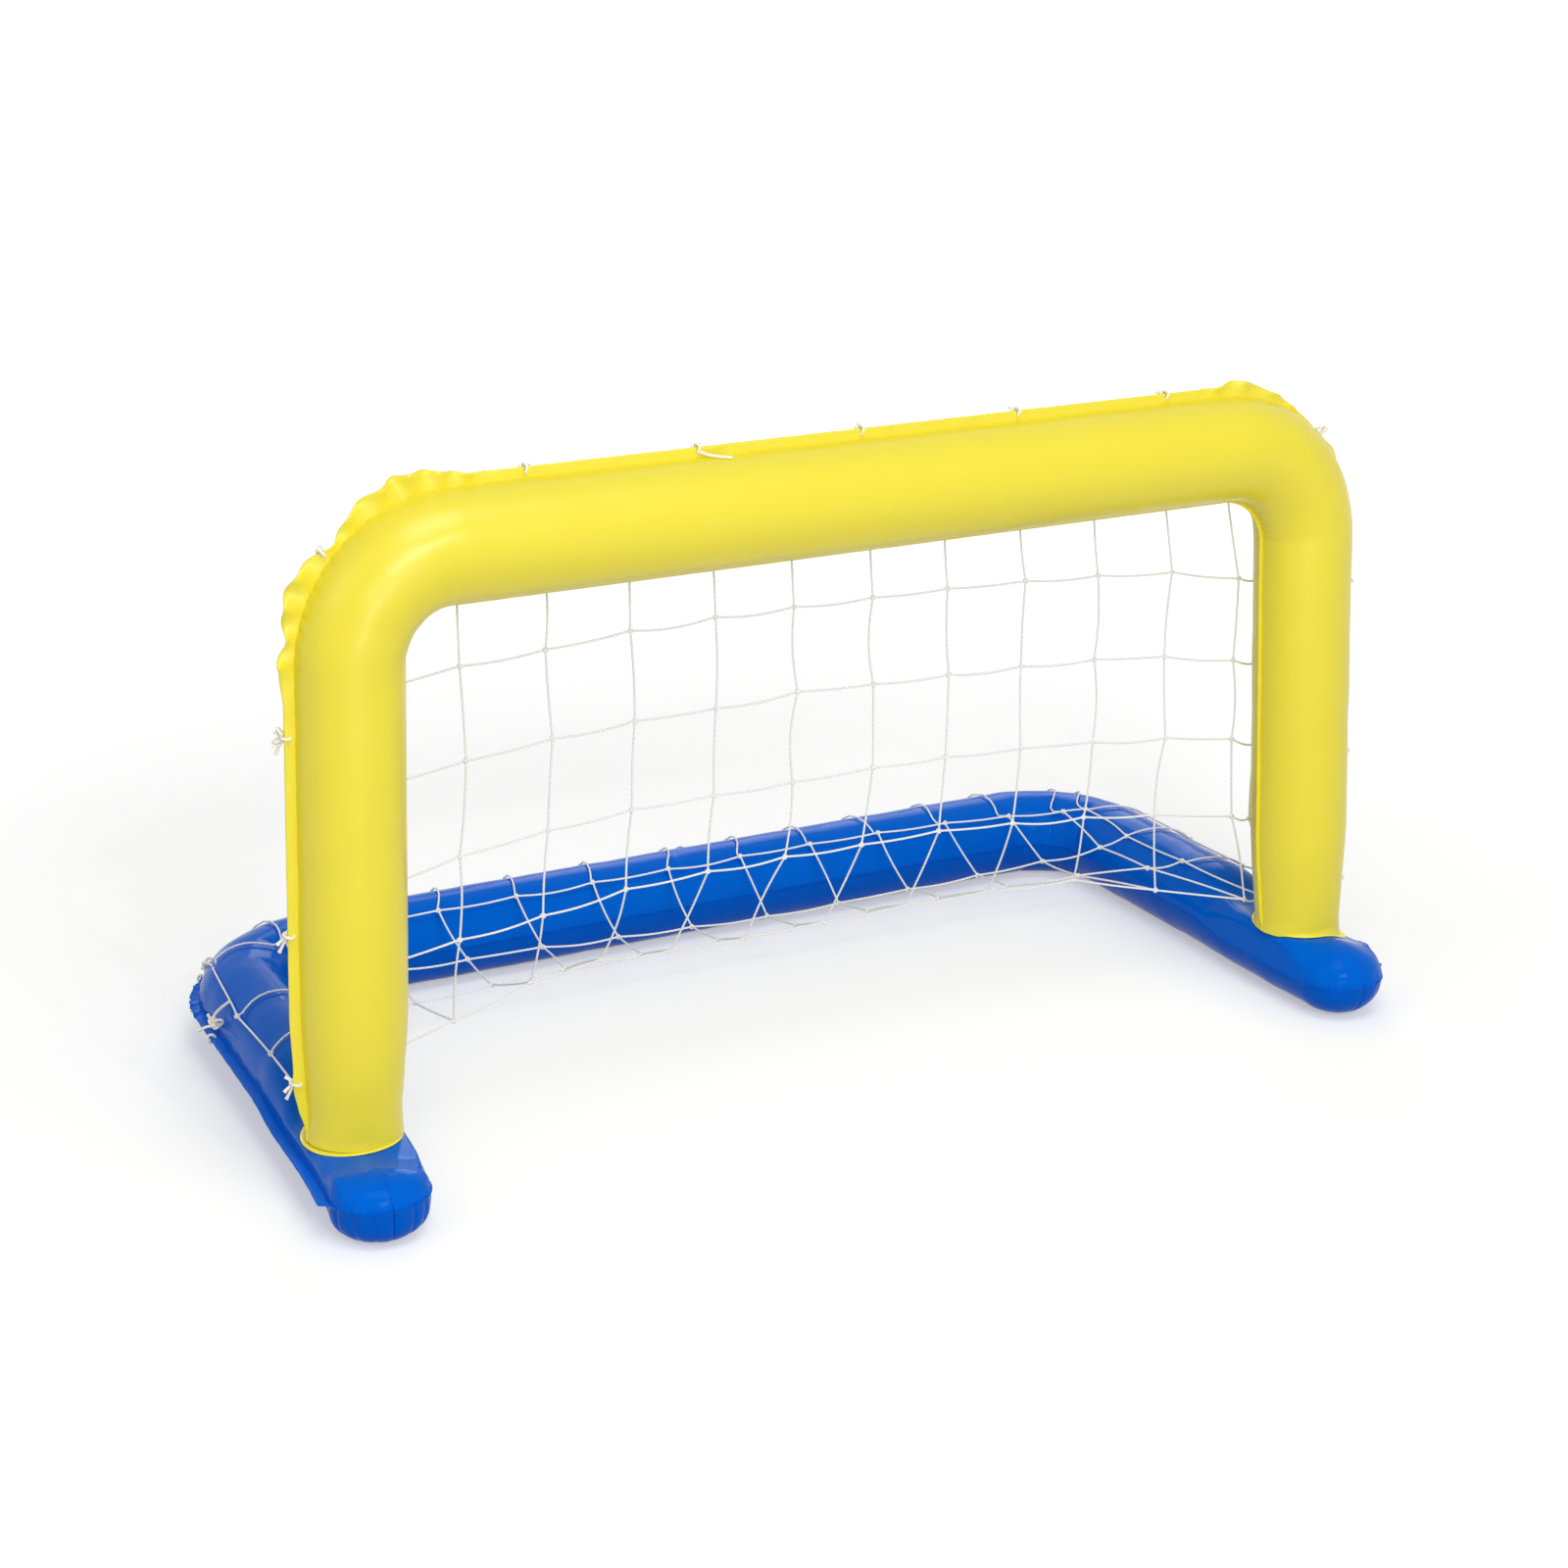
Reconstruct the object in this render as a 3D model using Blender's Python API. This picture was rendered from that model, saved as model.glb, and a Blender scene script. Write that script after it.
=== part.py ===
# Inflatable water polo goal: a welded vinyl arch on a U-shaped inflated base,
# with a knotted twine net laced to the weld flanges.
# Metres, +Z up, the mouth faces -Y, the origin is under the middle of the bounding box.
import bpy
import bmesh
import math
from mathutils import Matrix, Vector

for old in list(bpy.data.objects):
    bpy.data.objects.remove(old, do_unlink=True)

# Film and weld sizes, shared by both air chambers
film = 0.0005                # thickness of one vinyl panel
weld_gap = 0.0003            # room kept between two panels, and between a piece and its seat
flange = 0.012               # width of the outer weld flange
inner_flange = 0.004         # width of the inner weld flange
tip_flange = 0.008           # width of the flange round the legs' tips
facets = 4                   # facets on a quarter of a tube, besides half of its flat one

# Base: a U of inflated tube lying on the floor
base_radius = 0.0566         # half width of the base tube
leg_axis = 0.630             # half distance between the legs' axes, under the arch
leg_toe_share = 0.027        # the legs draw together towards the rear, metres per metre
rear_axis = 0.5395           # the rear tube's axis behind the arch plane
tip_front = 0.155            # the legs' tube ends this far ahead of the arch plane
base_bend = 0.120            # bend radius of the rear corners' axis
saddle_reach = 0.075         # the legs keep one height this far on each side of the arch plane
leg_rise = 0.170             # the legs reach full height here, behind the arch plane
leg_height_share = 0.82      # height of a leg under the arch, against the full tube

# Arch: an inverted U of inflated tube standing on the legs
post_radius = 0.0592         # half width of a post
bar_radius = 0.0623          # half width of the top bar
foot_radius = 0.0535         # a post narrows to this at its foot
head_in = 0.030              # the posts lean in by this much from the floor to the bar
head_axis = leg_axis - head_in                          # half distance between their axes at the bar
bar_axis = 0.717             # height of the bar's axis
arch_bend = 0.120            # bend radius of the arch's corners, on the axis
foot_end = 0.045             # the posts are drawn down to here, then cut to the leg
taper_low = 0.105            # below here the post has its foot's width and no outer flange
taper_high = 0.220           # above here the post has its full width
tab_low = 0.120              # lower edge of the flange's widened tab
tab_high = 0.145             # upper edge of that tab
hem = 0.009                  # the foot patch shows this far round the post

# Net and its ties
twine = 0.0021               # side of the net's twine, drawn square
mesh = 0.100                 # distance between two knots of the net
net_shift = 0.048            # the net hangs this far to one side of the middle
net_clear = 0.0042           # the twine's bends keep this from the inflated walls
net_slack = 0.0023           # and its straight pieces come this much nearer
tie_cord = 0.0035            # diameter of the cord that ties the net on
eyelet_in = 0.005            # the eyelets lie this far inside the flange's edge
eyelet = 0.0026              # radius of an eyelet, to its corners
tie_ring = 0.0071            # radius of a tie's loop, on the cord's axis
knot = 0.0032                # radius of a tie's knot
tail = 0.018                 # length of a knot's longer cut end
lace_back = 0.0005           # the net's edge runs this far inside the tie loop's centre
lace_off = 0.0025            # and this far off the flange's middle plane
bow = 0.0056                 # radius of a bow's loop

# Valves, one in each chamber
valve_seat = 0.015           # radius of the welded seat disc
valve_wall = 0.0009          # its thickness
collar = 0.0088              # outer radius of the seat's collar
collar_rise = 0.0026         # the collar stands this far off the tube
stem_radius = 0.0065         # outer radius of the sliding stem
stem_bore = 0.0042           # its air way
stem_out = 0.0112            # the stem's mouth stands this far off the tube
stem_in = 0.0090             # and its inner end lies this far inside
stem_lip = 0.0078            # radius of the stem's lip
lip = 0.0013                 # thickness of the lip
play = 0.0003                # running clearance of the valve's pieces
plug_head = 0.0074           # radius of the plug's head
plug_cap = 0.0016            # thickness of the head
plug_body = 0.0037           # radius of the plug where it starts
plug_end = 0.0031            # radius at its inner end
plug_depth = 0.0058          # it reaches this far into the stem
plug_tab = 0.0060            # length of the finger tab
strap_width = 0.0034         # width of the strap that keeps the plug
strap = 0.0011               # thickness of the strap
strap_reach = 0.0052         # the strap's bend stands this far out from the lip
flap_radius = 0.0054         # radius of the check flap
flap_wall = 0.0009           # its thickness
base_valve_tilt = math.radians(30)   # the base's valve points this far above level
valve_share = 0.5            # the valves sit midway between two strands of the net

# Everything below is drawn with the arch at y = 0, then moved forward by this, so that the
# origin lies midway between the legs' tips and the rear ties' ends
long_end = Vector((1.0, 0.5, 0.2)).normalized()         # a tie's longer end: along, outward, off the flange
tie_reach = tie_ring - eyelet_in + (tie_ring + knot / 3) / math.sqrt(2) + tail * long_end.y + tie_cord * 0.4
depth_back = rear_axis + base_radius + flange + tie_reach
to_middle = Vector((0, (depth_back - tip_front - tip_flange) / 2, 0))


def material(name, hex_colour, roughness):
    """One Principled material from a six digit sRGB colour."""
    mat = bpy.data.materials.new(name)
    mat.use_nodes = True
    srgb = [int(hex_colour[i:i + 2], 16) / 255 for i in (0, 2, 4)]
    linear = [c / 12.92 if c <= 0.04045 else ((c + 0.055) / 1.055) ** 2.4 for c in srgb]
    shader = mat.node_tree.nodes["Principled BSDF"]
    shader.inputs["Base Color"].default_value = (*linear, 1)
    shader.inputs["Roughness"].default_value = roughness
    shader.inputs["Metallic"].default_value = 0
    mat.diffuse_color = (*linear, 1)
    return mat


def place(name, bm, mat=None):
    """Turn a bmesh into a named, smooth-shaded object; without a material it is a hidden cutter."""
    bmesh.ops.remove_doubles(bm, verts=bm.verts, dist=film / 1000)
    bmesh.ops.dissolve_degenerate(bm, edges=bm.edges, dist=film / 1000)
    bmesh.ops.recalc_face_normals(bm, faces=bm.faces)
    bmesh.ops.translate(bm, verts=bm.verts, vec=-to_middle)
    data = bpy.data.meshes.new(name)
    bm.to_mesh(data)
    bm.free()
    obj = bpy.data.objects.new(name, data)
    bpy.context.scene.collection.objects.link(obj)
    data.shade_smooth()
    if mat is None:
        obj.hide_render = True
        obj.display_type = "WIRE"
        obj.hide_viewport = False
    else:
        data.materials.append(mat)
    return obj


def pivot(obj, point):
    """Put a moving piece's origin on its joint's axis."""
    spot = point - to_middle
    obj.data.transform(Matrix.Translation(-spot))
    obj.location = spot


def combine(obj, other, operation):
    """Add a live exact Boolean of obj with another object."""
    mod = obj.modifiers.new(operation.title(), "BOOLEAN")
    mod.operation = operation
    mod.solver = "EXACT"
    mod.object = other
    return obj


def loft(name, rings, mat=None, capped=True, film_walls=False):
    """Skin closed rings of equal point count, one after another, into a solid. On a panel of film,
    the second half of each ring is the inner skin, run backwards: both skins' faces are split along
    the same line there, so that the thin walls can't cross."""
    bm = bmesh.new()
    rows = [[bm.verts.new(p) for p in ring] for ring in rings]
    count = len(rows[0])
    for low, high in zip(rows, rows[1:]):
        for i in range(count):
            k = (i + 1) % count
            if not film_walls:
                bm.faces.new((low[i], low[k], high[k], high[i]))
            elif i < count // 2:
                bm.faces.new((low[i], low[k], high[k]))
                bm.faces.new((low[i], high[k], high[i]))
            else:
                bm.faces.new((low[i], low[k], high[i]))
                bm.faces.new((low[k], high[k], high[i]))
    if capped:
        bm.faces.new(rows[0])
        bm.faces.new(rows[-1][::-1])
    return place(name, bm, mat)


def turned(name, profile, frame, sides, mat=None):
    """Turn a closed outline of (radius, height) pairs round the frame's third axis."""
    angles = [2 * math.pi * k / sides for k in range(sides)]
    rings = [[frame @ Vector((r * math.cos(a), r * math.sin(a), h)) for r, h in profile] for a in angles]
    return loft(name, rings + rings[:1], mat, capped=False)


def quarter(radius, edge, wall_in=0.0, wall_out=0.0):
    """Half of one panel's section, from the flange's edge to the crown: a list of (across, up).
    The crown carries one flat facet, which is what an inflated tube stands on."""
    step = math.pi / 2 / (facets + 0.5)
    low = weld_gap / 2 + wall_out
    r = radius - wall_in
    points = [(radius + edge, low), (r, low)]
    for k in range(facets):
        a = step * (k + 1)
        points.append((r * math.cos(a), r * math.sin(a)))
    points.append((0.0, r * math.sin(step * facets)))
    return points


def panel_ring(middle, out_dir, in_dir, up_dir, radius, out_edge, in_edge, lift=None):
    """One closed section of a welded panel: outer skin, then inner skin back again."""
    ring = []
    for wall_in, wall_out, flip in ((0.0, film, 1), (film, 0.0, -1)):
        outer = quarter(radius, out_edge, wall_in, wall_out)
        inner = quarter(radius, in_edge, wall_in, wall_out)
        side = [middle + out_dir * a + up_dir * h for a, h in outer]
        other = [middle + in_dir * a + up_dir * h for a, h in inner[:-1]]
        line = side + other[::-1]
        ring += line if flip > 0 else line[::-1]
    return [lift(p) for p in ring] if lift else ring


# The base's axis, from the left leg's tip round the rear to the right leg's tip.
# Each station is a middle point, the outward and inward directions and a height share.
crown_share = math.sin(math.pi / 2 * facets / (facets + 0.5))
base_mid = base_radius * crown_share
toe = math.atan(leg_toe_share)
tip_centre = -tip_front + base_radius
fan_steps = 4
bend_steps = 6


def leg_point(y):
    """A point of the right leg's axis."""
    return Vector((leg_axis - leg_toe_share * y, y, base_mid))


def leg_height(y):
    """Height share of the leg at y: low under the arch and at the tip, full further back."""
    t = min(max((y - saddle_reach) / (leg_rise - saddle_reach), 0.0), 1.0)
    return leg_height_share + (1 - leg_height_share) * t


leg_out = Vector((math.cos(toe), math.sin(toe), 0))
leg_fore = Vector((math.sin(toe), -math.cos(toe), 0))
# the bend's centre lies one bend radius inside the leg's axis and ahead of the rear axis
bend_y = rear_axis - base_bend
bend_x = (leg_axis - leg_toe_share * bend_y) - base_bend / math.cos(toe)
bend_centre = Vector((bend_x, bend_y, base_mid))


def right_stations():
    """Stations of the right half of the base, from its tip to the middle of the rear tube."""
    found = []
    for k in range(fan_steps, 0, -1):
        a = math.pi / 2 * k / fan_steps
        out = leg_out * math.cos(a) + leg_fore * math.sin(a)
        inn = leg_out * -math.cos(a) + leg_fore * math.sin(a)
        t = k / fan_steps
        edges = (flange + (tip_flange - flange) * t, inner_flange + (tip_flange - inner_flange) * t)
        found.append((leg_point(tip_centre), out, inn, leg_height(tip_centre), edges))
    for y in (tip_centre, -saddle_reach, saddle_reach, leg_rise):
        found.append((leg_point(y), leg_out, -leg_out, leg_height(y), (flange, inner_flange)))
    for k in range(bend_steps + 1):
        a = toe + (math.pi / 2 - toe) * k / bend_steps
        out = Vector((math.cos(a), math.sin(a), 0))
        found.append((bend_centre + out * base_bend, out, -out, 1.0, (flange, inner_flange)))
    return found


def mirrored(v):
    """The same point or direction on the other side of the middle plane."""
    return Vector((-v.x, v.y, v.z))


def base_stations():
    """All stations of the base, left tip to right tip."""
    right = right_stations()
    left = [(mirrored(m), mirrored(o), mirrored(i), s, e) for m, o, i, s, e in right]
    return left + right[::-1]


def base_rings(sign):
    """Sections of the top panel (sign 1) or the bottom panel (sign -1)."""
    rings = []
    for middle, out, inn, share, edges in base_stations():
        def squash(p, s=share):
            return Vector((p.x, p.y, p.z * s))
        up = Vector((0, 0, sign))
        rings.append(panel_ring(middle, out, inn, up, base_radius, *edges, squash))
    return rings


blue = material("base vinyl", "0058C8", 0.25)
blue_under = material("base vinyl underside", "0050BC", 0.3)
yellow = material("arch vinyl", "E8DC3C", 0.35)
yellow_rear = material("arch vinyl rear", "E2D434", 0.35)
patch_yellow = material("foot patch vinyl", "F0E450", 0.4)
white = material("net twine", "F2F2F0", 0.8)

# Base, top panel and bottom panel: two sheets welded along their edges
base_top = loft("base_top_panel", base_rings(1), blue, capped=False, film_walls=True)
base_bottom = loft("base_bottom_panel", base_rings(-1), blue_under, capped=False, film_walls=True)

# The arch's axis: the right post leans in to the bar, round a bend tangent to both
lean = math.atan((leg_axis - head_axis) / bar_axis)
turn = math.pi / 2 - lean
post_out = Vector((math.cos(lean), 0, math.sin(lean)))
bend_tangent = arch_bend * math.tan(turn / 2)
arch_centre = Vector((head_axis - bend_tangent, 0, bar_axis - arch_bend))
arch_steps = 10
left_flap_shares = (1.5, 0.85, 1.5, 2.05, 1.6, 1.0, 1.45, 1.85, 2.2, 1.9, 1.3)
right_flap_shares = (0.9, 0.7, 0.55, 0.7, 0.6, 1.0, 0.55, 0.6, 0.7, 1.35, 1.3)
tab_share = 1.3
bare_share = 0.05


def post_point(z):
    """A point of the right post's axis at height z."""
    return Vector((leg_axis - (leg_axis - head_axis) * z / bar_axis, 0, z))


def post_width(z):
    """Half width of a post at height z."""
    t = min(max((z - taper_low) / (taper_high - taper_low), 0.0), 1.0)
    return foot_radius + (post_radius - foot_radius) * t


def right_arch(flap_shares):
    """Stations of the right half of the arch: middle, outward direction, radius, flange width."""
    found = []
    for z, share in ((foot_end, bare_share), (taper_low, bare_share), (tab_low, tab_share),
                     (tab_high, tab_share), (taper_high, 1.0)):
        found.append((post_point(z), post_out, post_width(z), flange * share))
    for k, share in enumerate(flap_shares):
        t = k / arch_steps
        a = lean + turn * t
        out = Vector((math.cos(a), 0, math.sin(a)))
        radius = post_radius + (bar_radius - post_radius) * t
        found.append((arch_centre + out * arch_bend, out, radius, flange * share))
    x = arch_centre.x - arch_bend / 2
    found.append((Vector((x, 0, bar_axis)), Vector((0, 0, 1)), bar_radius, flange))
    return found


def arch_rings(sign):
    """Sections of the rear panel (sign 1) or the front panel (sign -1), left foot to right foot."""
    left = [(mirrored(m), mirrored(o), r, f) for m, o, r, f in right_arch(left_flap_shares)]
    stations = left + right_arch(right_flap_shares)[::-1]
    normal = Vector((0, sign, 0))
    return [panel_ring(m, o, -o, normal, r, f, inner_flange) for m, o, r, f in stations]


arch_front = loft("arch_front_panel", arch_rings(-1), yellow)
arch_rear = loft("arch_rear_panel", arch_rings(1), yellow_rear)

# Foot patches: each closes the arch's chamber and lies on the leg like a saddle.
# The arch is cut to stand on them.


def leg_section(offset, closed_below):
    """The top panel's outer section over a leg, grown by offset."""
    half = quarter(base_radius + offset, flange, 0.0, film + offset)
    if closed_below:
        half = [(base_radius + flange + offset, -base_radius - flange)] + half
    else:
        half = half[1:]
    return half


def leg_rings(half_rings, side):
    """Sweep half sections along the straight part of one leg; side is 1 or -1."""
    rings = []
    for y in (-saddle_reach, saddle_reach):
        ring = []
        for half, flip in half_rings:
            out = [leg_point(y) + leg_out * a + Vector((0, 0, h)) for a, h in half]
            inn = [leg_point(y) - leg_out * a + Vector((0, 0, h)) for a, h in half[:-1]]
            line = out + inn[::-1]
            ring += line if flip > 0 else line[::-1]
        ring = [Vector((p.x, p.y, p.z * leg_height_share)) for p in ring]
        rings.append([p if side > 0 else mirrored(p) for p in ring])
    return rings


patch_frame_height = base_radius * 3
for side, word in ((-1, "left"), (1, "right")):
    saddle = ((leg_section(weld_gap + film, False), 1), (leg_section(weld_gap, False), -1))
    patch = loft(word + "_foot_patch", leg_rings(saddle, side), patch_yellow)
    rim = [(0.0, 0.0), (foot_radius + hem, 0.0), (foot_radius + hem, patch_frame_height), (0.0, patch_frame_height)]
    stand = Matrix.Translation(Vector((side * leg_axis, 0, 0)))
    round_cut = turned(word + "_patch_outline", rim, stand, 28)
    combine(patch, round_cut, "INTERSECT")
    seat = loft(word + "_foot_seat", leg_rings(((leg_section(weld_gap * 2 + film, True), 1),), side))
    combine(arch_front, seat, "DIFFERENCE")
    combine(arch_rear, seat, "DIFFERENCE")

# Net: a knotted sheet laced to the arch's outer flange, over the posts' backs,
# down into a trough and up over the base's rear tube to its outer flange.
columns = 14
rows = 10
lace_radius = eyelet_in - tie_ring + lace_back      # the edge twine's place inside the flange's edge
side_rows = (0.640, 0.518, 0.410, 0.297, 0.213, 0.126)   # heights where rows 1 to 6 meet the posts' flanges
back_plane = bar_radius + net_clear                 # the net hangs straight down from the bar's back
# middle profile of rows 1 to 9: sideways drift, distance behind the arch plane, height
middle_rows = (
    (0.000, back_plane, 0.674),
    (0.000, back_plane, 0.573),
    (0.000, back_plane, 0.472),
    (0.000, back_plane, 0.371),
    (0.000, 0.076, 0.270),
    (-0.0165, 0.139, 0.157),
    (0.004, 0.259, 0.112),
    (0.030, 0.384, 0.096),
    (0.040, 0.498, 0.112),
)
droop_share = 0.9            # how much of the droop the rows have taken at the posts' backs
# rows 7 to 9 end on the legs: turn above the leg's axis, distance behind the arch, and off the tube
leg_rows = (
    (math.radians(48.9), 0.176, 0.0028),
    (math.radians(41.2), 0.304, 0.0045),
    (math.radians(49.2), 0.401, 0.0032),
)


def arch_edge(x, z):
    """The edge twine's place behind the arch's outer flange nearest to (x, z)."""
    ax = abs(x)
    rel = Vector((ax - arch_centre.x, 0, z - arch_centre.z))
    a = math.atan2(rel.z, rel.x)
    reach = flange - lace_radius
    if a <= lean:
        middle = post_point(z)
        p = middle + post_out * (post_width(z) + reach)
    elif rel.x > 0:
        t = (a - lean) / turn
        radius = post_radius + (bar_radius - post_radius) * t
        p = arch_centre + Vector((math.cos(a), 0, math.sin(a))) * (arch_bend + radius + reach)
    else:
        p = Vector((ax, 0, bar_axis + bar_radius + reach))
    return Vector((math.copysign(p.x, x), lace_off, p.z))


def base_edge(x):
    """The edge twine's place above the base's rear outer flange at x."""
    reach = base_radius + flange - lace_radius
    ax = abs(x)
    if ax <= bend_x:
        return Vector((x, rear_axis + reach, base_mid + lace_off))
    a = math.acos(min((ax - bend_x) / (base_bend + reach), 1.0))
    y = bend_y + (base_bend + reach) * math.sin(a)
    return Vector((x, y, base_mid + lace_off))


corner_turn = math.radians(42)
corner_out = Vector((math.cos(corner_turn), 0, math.sin(corner_turn)))
arch_corner = arch_centre + corner_out * (arch_bend + post_radius)
base_corner_turn = math.radians(38)
base_corner_out = Vector((math.cos(base_corner_turn), math.sin(base_corner_turn), 0))


def leg_knot(k, side):
    """The net's corner knot of row k, which lies on a leg."""
    raised, y, off = leg_rows[k - 7]
    reach = base_radius + off
    x = leg_axis - leg_toe_share * y + reach * math.cos(raised)
    return Vector((side * x, y, base_mid + reach * math.sin(raised)))


def column_x(j):
    """Where strand j hangs, before drift: even in the middle, drawn in at both posts."""
    x = net_shift + mesh * (j - columns / 2)
    side = post_point(middle_rows[1][2]).x
    if j == 1:
        x = -side + mesh / 5
    if j == columns - 1:
        x = side - mesh / 5
    return x


def net_knot(k, j):
    """The knot of row k on strand j."""
    side = -1 if j < columns / 2 else 1
    ends = j in (0, columns)
    if k == 0 or (ends and k <= 6):
        if ends and k == 0:
            p = arch_edge(side * arch_corner.x, arch_corner.z)
            return p
        if ends:
            z = side_rows[k - 1]
            top = arch_edge(side * head_axis, z)
            if z > arch_centre.z + arch_bend * math.sin(lean):
                rise = z - arch_centre.z
                reach = arch_bend + post_radius + flange - lace_radius
                top = Vector((side * (arch_centre.x + math.sqrt(reach ** 2 - rise ** 2)), lace_off, z))
            return top
        x = column_x(j)
        if abs(x) > arch_centre.x:
            reach = arch_bend + bar_radius + flange - lace_radius
            z = arch_centre.z + math.sqrt(reach ** 2 - (abs(x) - arch_centre.x) ** 2)
            return Vector((x, lace_off, z))
        return Vector((x, lace_off, bar_axis + bar_radius + flange - lace_radius))
    if k == rows:
        if ends:
            reach = base_bend + base_radius + flange - lace_radius
            p = bend_centre + base_corner_out * reach
            return Vector((side * p.x, p.y, base_mid + lace_off))
        x = column_x(j)
        return base_edge(x + middle_rows[8][0] * (1 - abs(x) / leg_axis))
    if ends:
        return leg_knot(k, side)
    x = column_x(j)
    drift, y, z = middle_rows[k - 1]
    if k <= 5:
        # the rows droop towards the posts
        t = (abs(x) / post_point(z).x) ** 3 * droop_share
        return Vector((x + drift, y, z + (side_rows[k - 1] - z) * t))
    if k == 6:
        end = arch_edge(side * head_axis, side_rows[5])
    else:
        end = leg_knot(k, side)
    t = (abs(x) / abs(end.x)) ** 3
    return Vector((x + drift * (1 - t), y + (end.y - y) * t, z + (end.z - z) * t))


def tube_axes():
    """The inflated tubes as straight pieces of axis with a radius, for keeping the twine outside."""
    found = []
    stations = [(m, r) for m, o, r, f in right_arch(right_flap_shares)]
    for (m, r), (n, s) in zip(stations, stations[1:]):
        found.append((m, n, (r + s) / 2))
    found.append((stations[-1][0], mirrored(stations[-1][0]), bar_radius))
    base = [station[0] for station in right_stations()]
    for m, n in zip(base, base[1:]):
        if (n - m).length > film:
            found.append((m, n, base_radius))
    found.append((base[-1], mirrored(base[-1]), base_radius))
    return found + [(mirrored(m), mirrored(n), r) for m, n, r in found]


walls = tube_axes()


def keep_outside(p):
    """Move a point of the twine out of the inflated tubes."""
    for m, n, r in walls:
        along = n - m
        t = min(max((p - m).dot(along) / along.length_squared, 0.0), 1.0)
        foot = m + along * t
        away = p - foot
        if film < away.length < r + net_clear:
            p = foot + away.normalized() * (r + net_clear)
    return p


def strand(a, b):
    """The points between two knots: halved again and again where the twine lies over a tube."""
    sunk = max((keep_outside(a.lerp(b, share)) - a.lerp(b, share)).length for share in (0.25, 0.5, 0.75))
    if sunk < net_slack or (b - a).length < twine * 5:
        return []
    middle = keep_outside(a.lerp(b, 0.5))
    return strand(a, middle) + [middle] + strand(middle, b)


knots = [[net_knot(k, j) for j in range(columns + 1)] for k in range(rows + 1)]
for k in range(1, rows):
    for j in range(1, columns):
        knots[k][j] = keep_outside(knots[k][j])

# every knot is a small block, and every strand a square bar from block to block
along_row = {(k, j): strand(knots[k][j], knots[k][j + 1]) for k in range(rows + 1) for j in range(columns)}
down_column = {(k, j): strand(knots[k][j], knots[k + 1][j]) for k in range(rows) for j in range(columns + 1)}


def first_point(table, start, step, at_start):
    """The place where a strand leaves a knot, towards its next point."""
    k, j = start
    line = table.get((k, j) if at_start else (k - step[0], j - step[1]))
    if line is None:
        return None
    other = (k + step[0], j + step[1]) if at_start else (k - step[0], j - step[1])
    if not line:
        return knots[other[0]][other[1]]
    return line[0] if at_start else line[-1]


def knot_axes(k, j):
    """Directions along the row, down the strand and off the sheet at one knot."""
    here = knots[k][j]
    axes = []
    for table, step in ((along_row, (0, 1)), (down_column, (1, 0))):
        ahead = first_point(table, (k, j), step, True) or here
        behind = first_point(table, (k, j), step, False) or here
        axes.append((ahead - behind).normalized())
    off = axes[0].cross(axes[1]).normalized()
    return axes[0], off.cross(axes[0]), off


# The one net is drawn in ten parts that hardly bend. Where two meet, the strand of the later
# part in this list stops a weld gap short of the earlier part's knot. The base's valve lies
# between the two rear parts.
half = twine / 2
net_parts = ("net_back", "net_slope", "net_apron", "net_left_edge", "net_right_edge",
             "net_left_leg", "net_right_leg", "net_top", "net_rear_left", "net_rear_right")
net_meshes = {name: bmesh.new() for name in net_parts}
side_order = ((1, 1), (-1, 1), (-1, -1), (1, -1))
post_row = len(side_rows)


def part_of(k, j):
    """The part of the net that the knot of row k on strand j belongs to."""
    if k == 0:
        return "net_top"
    if k == rows:
        return "net_rear_" + ("left" if j < columns / 2 else "right")
    if j in (0, columns):
        return "net_" + ("left" if j == 0 else "right") + ("_leg" if k > post_row else "_edge")
    if k < post_row:
        return "net_back"
    return "net_slope" if k == post_row else "net_apron"


axes_at = {}
block = {}
for k in range(rows + 1):
    for j in range(columns + 1):
        r, c, n = knot_axes(k, j)
        axes_at[k, j] = (r, c, n)
        own = net_meshes[part_of(k, j)]
        for u in (-1, 1):
            for v in (-1, 1):
                for w in (-1, 1):
                    block[k, j, u, v, w] = own.verts.new(knots[k][j] + (r * u + c * v + n * w) * half)


def side_ring(k, j, way, direction):
    """The four corners of a block's side that faces along its row or down its strand."""
    if way == "row":
        return [block[k, j, direction, b, w] for b, w in side_order]
    return [block[k, j, b, direction, w] for b, w in side_order]


def end_ring(k, j, way, direction, name):
    """The ring where a strand of the named part meets a block: the block's side itself, or a
    closed end a weld gap off it where the block belongs to another part."""
    ring = side_ring(k, j, way, direction)
    if part_of(k, j) == name:
        return ring
    out = axes_at[k, j][0 if way == "row" else 1] * (direction * weld_gap)
    own = net_meshes[name]
    ring = [own.verts.new(v.co + out) for v in ring]
    own.faces.new(ring)
    return ring


def join(own, ring, other):
    """Four walls between two rings of four corners."""
    for n in range(4):
        m = (n + 1) % 4
        own.faces.new((ring[n], ring[m], other[m], other[n]))


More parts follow.
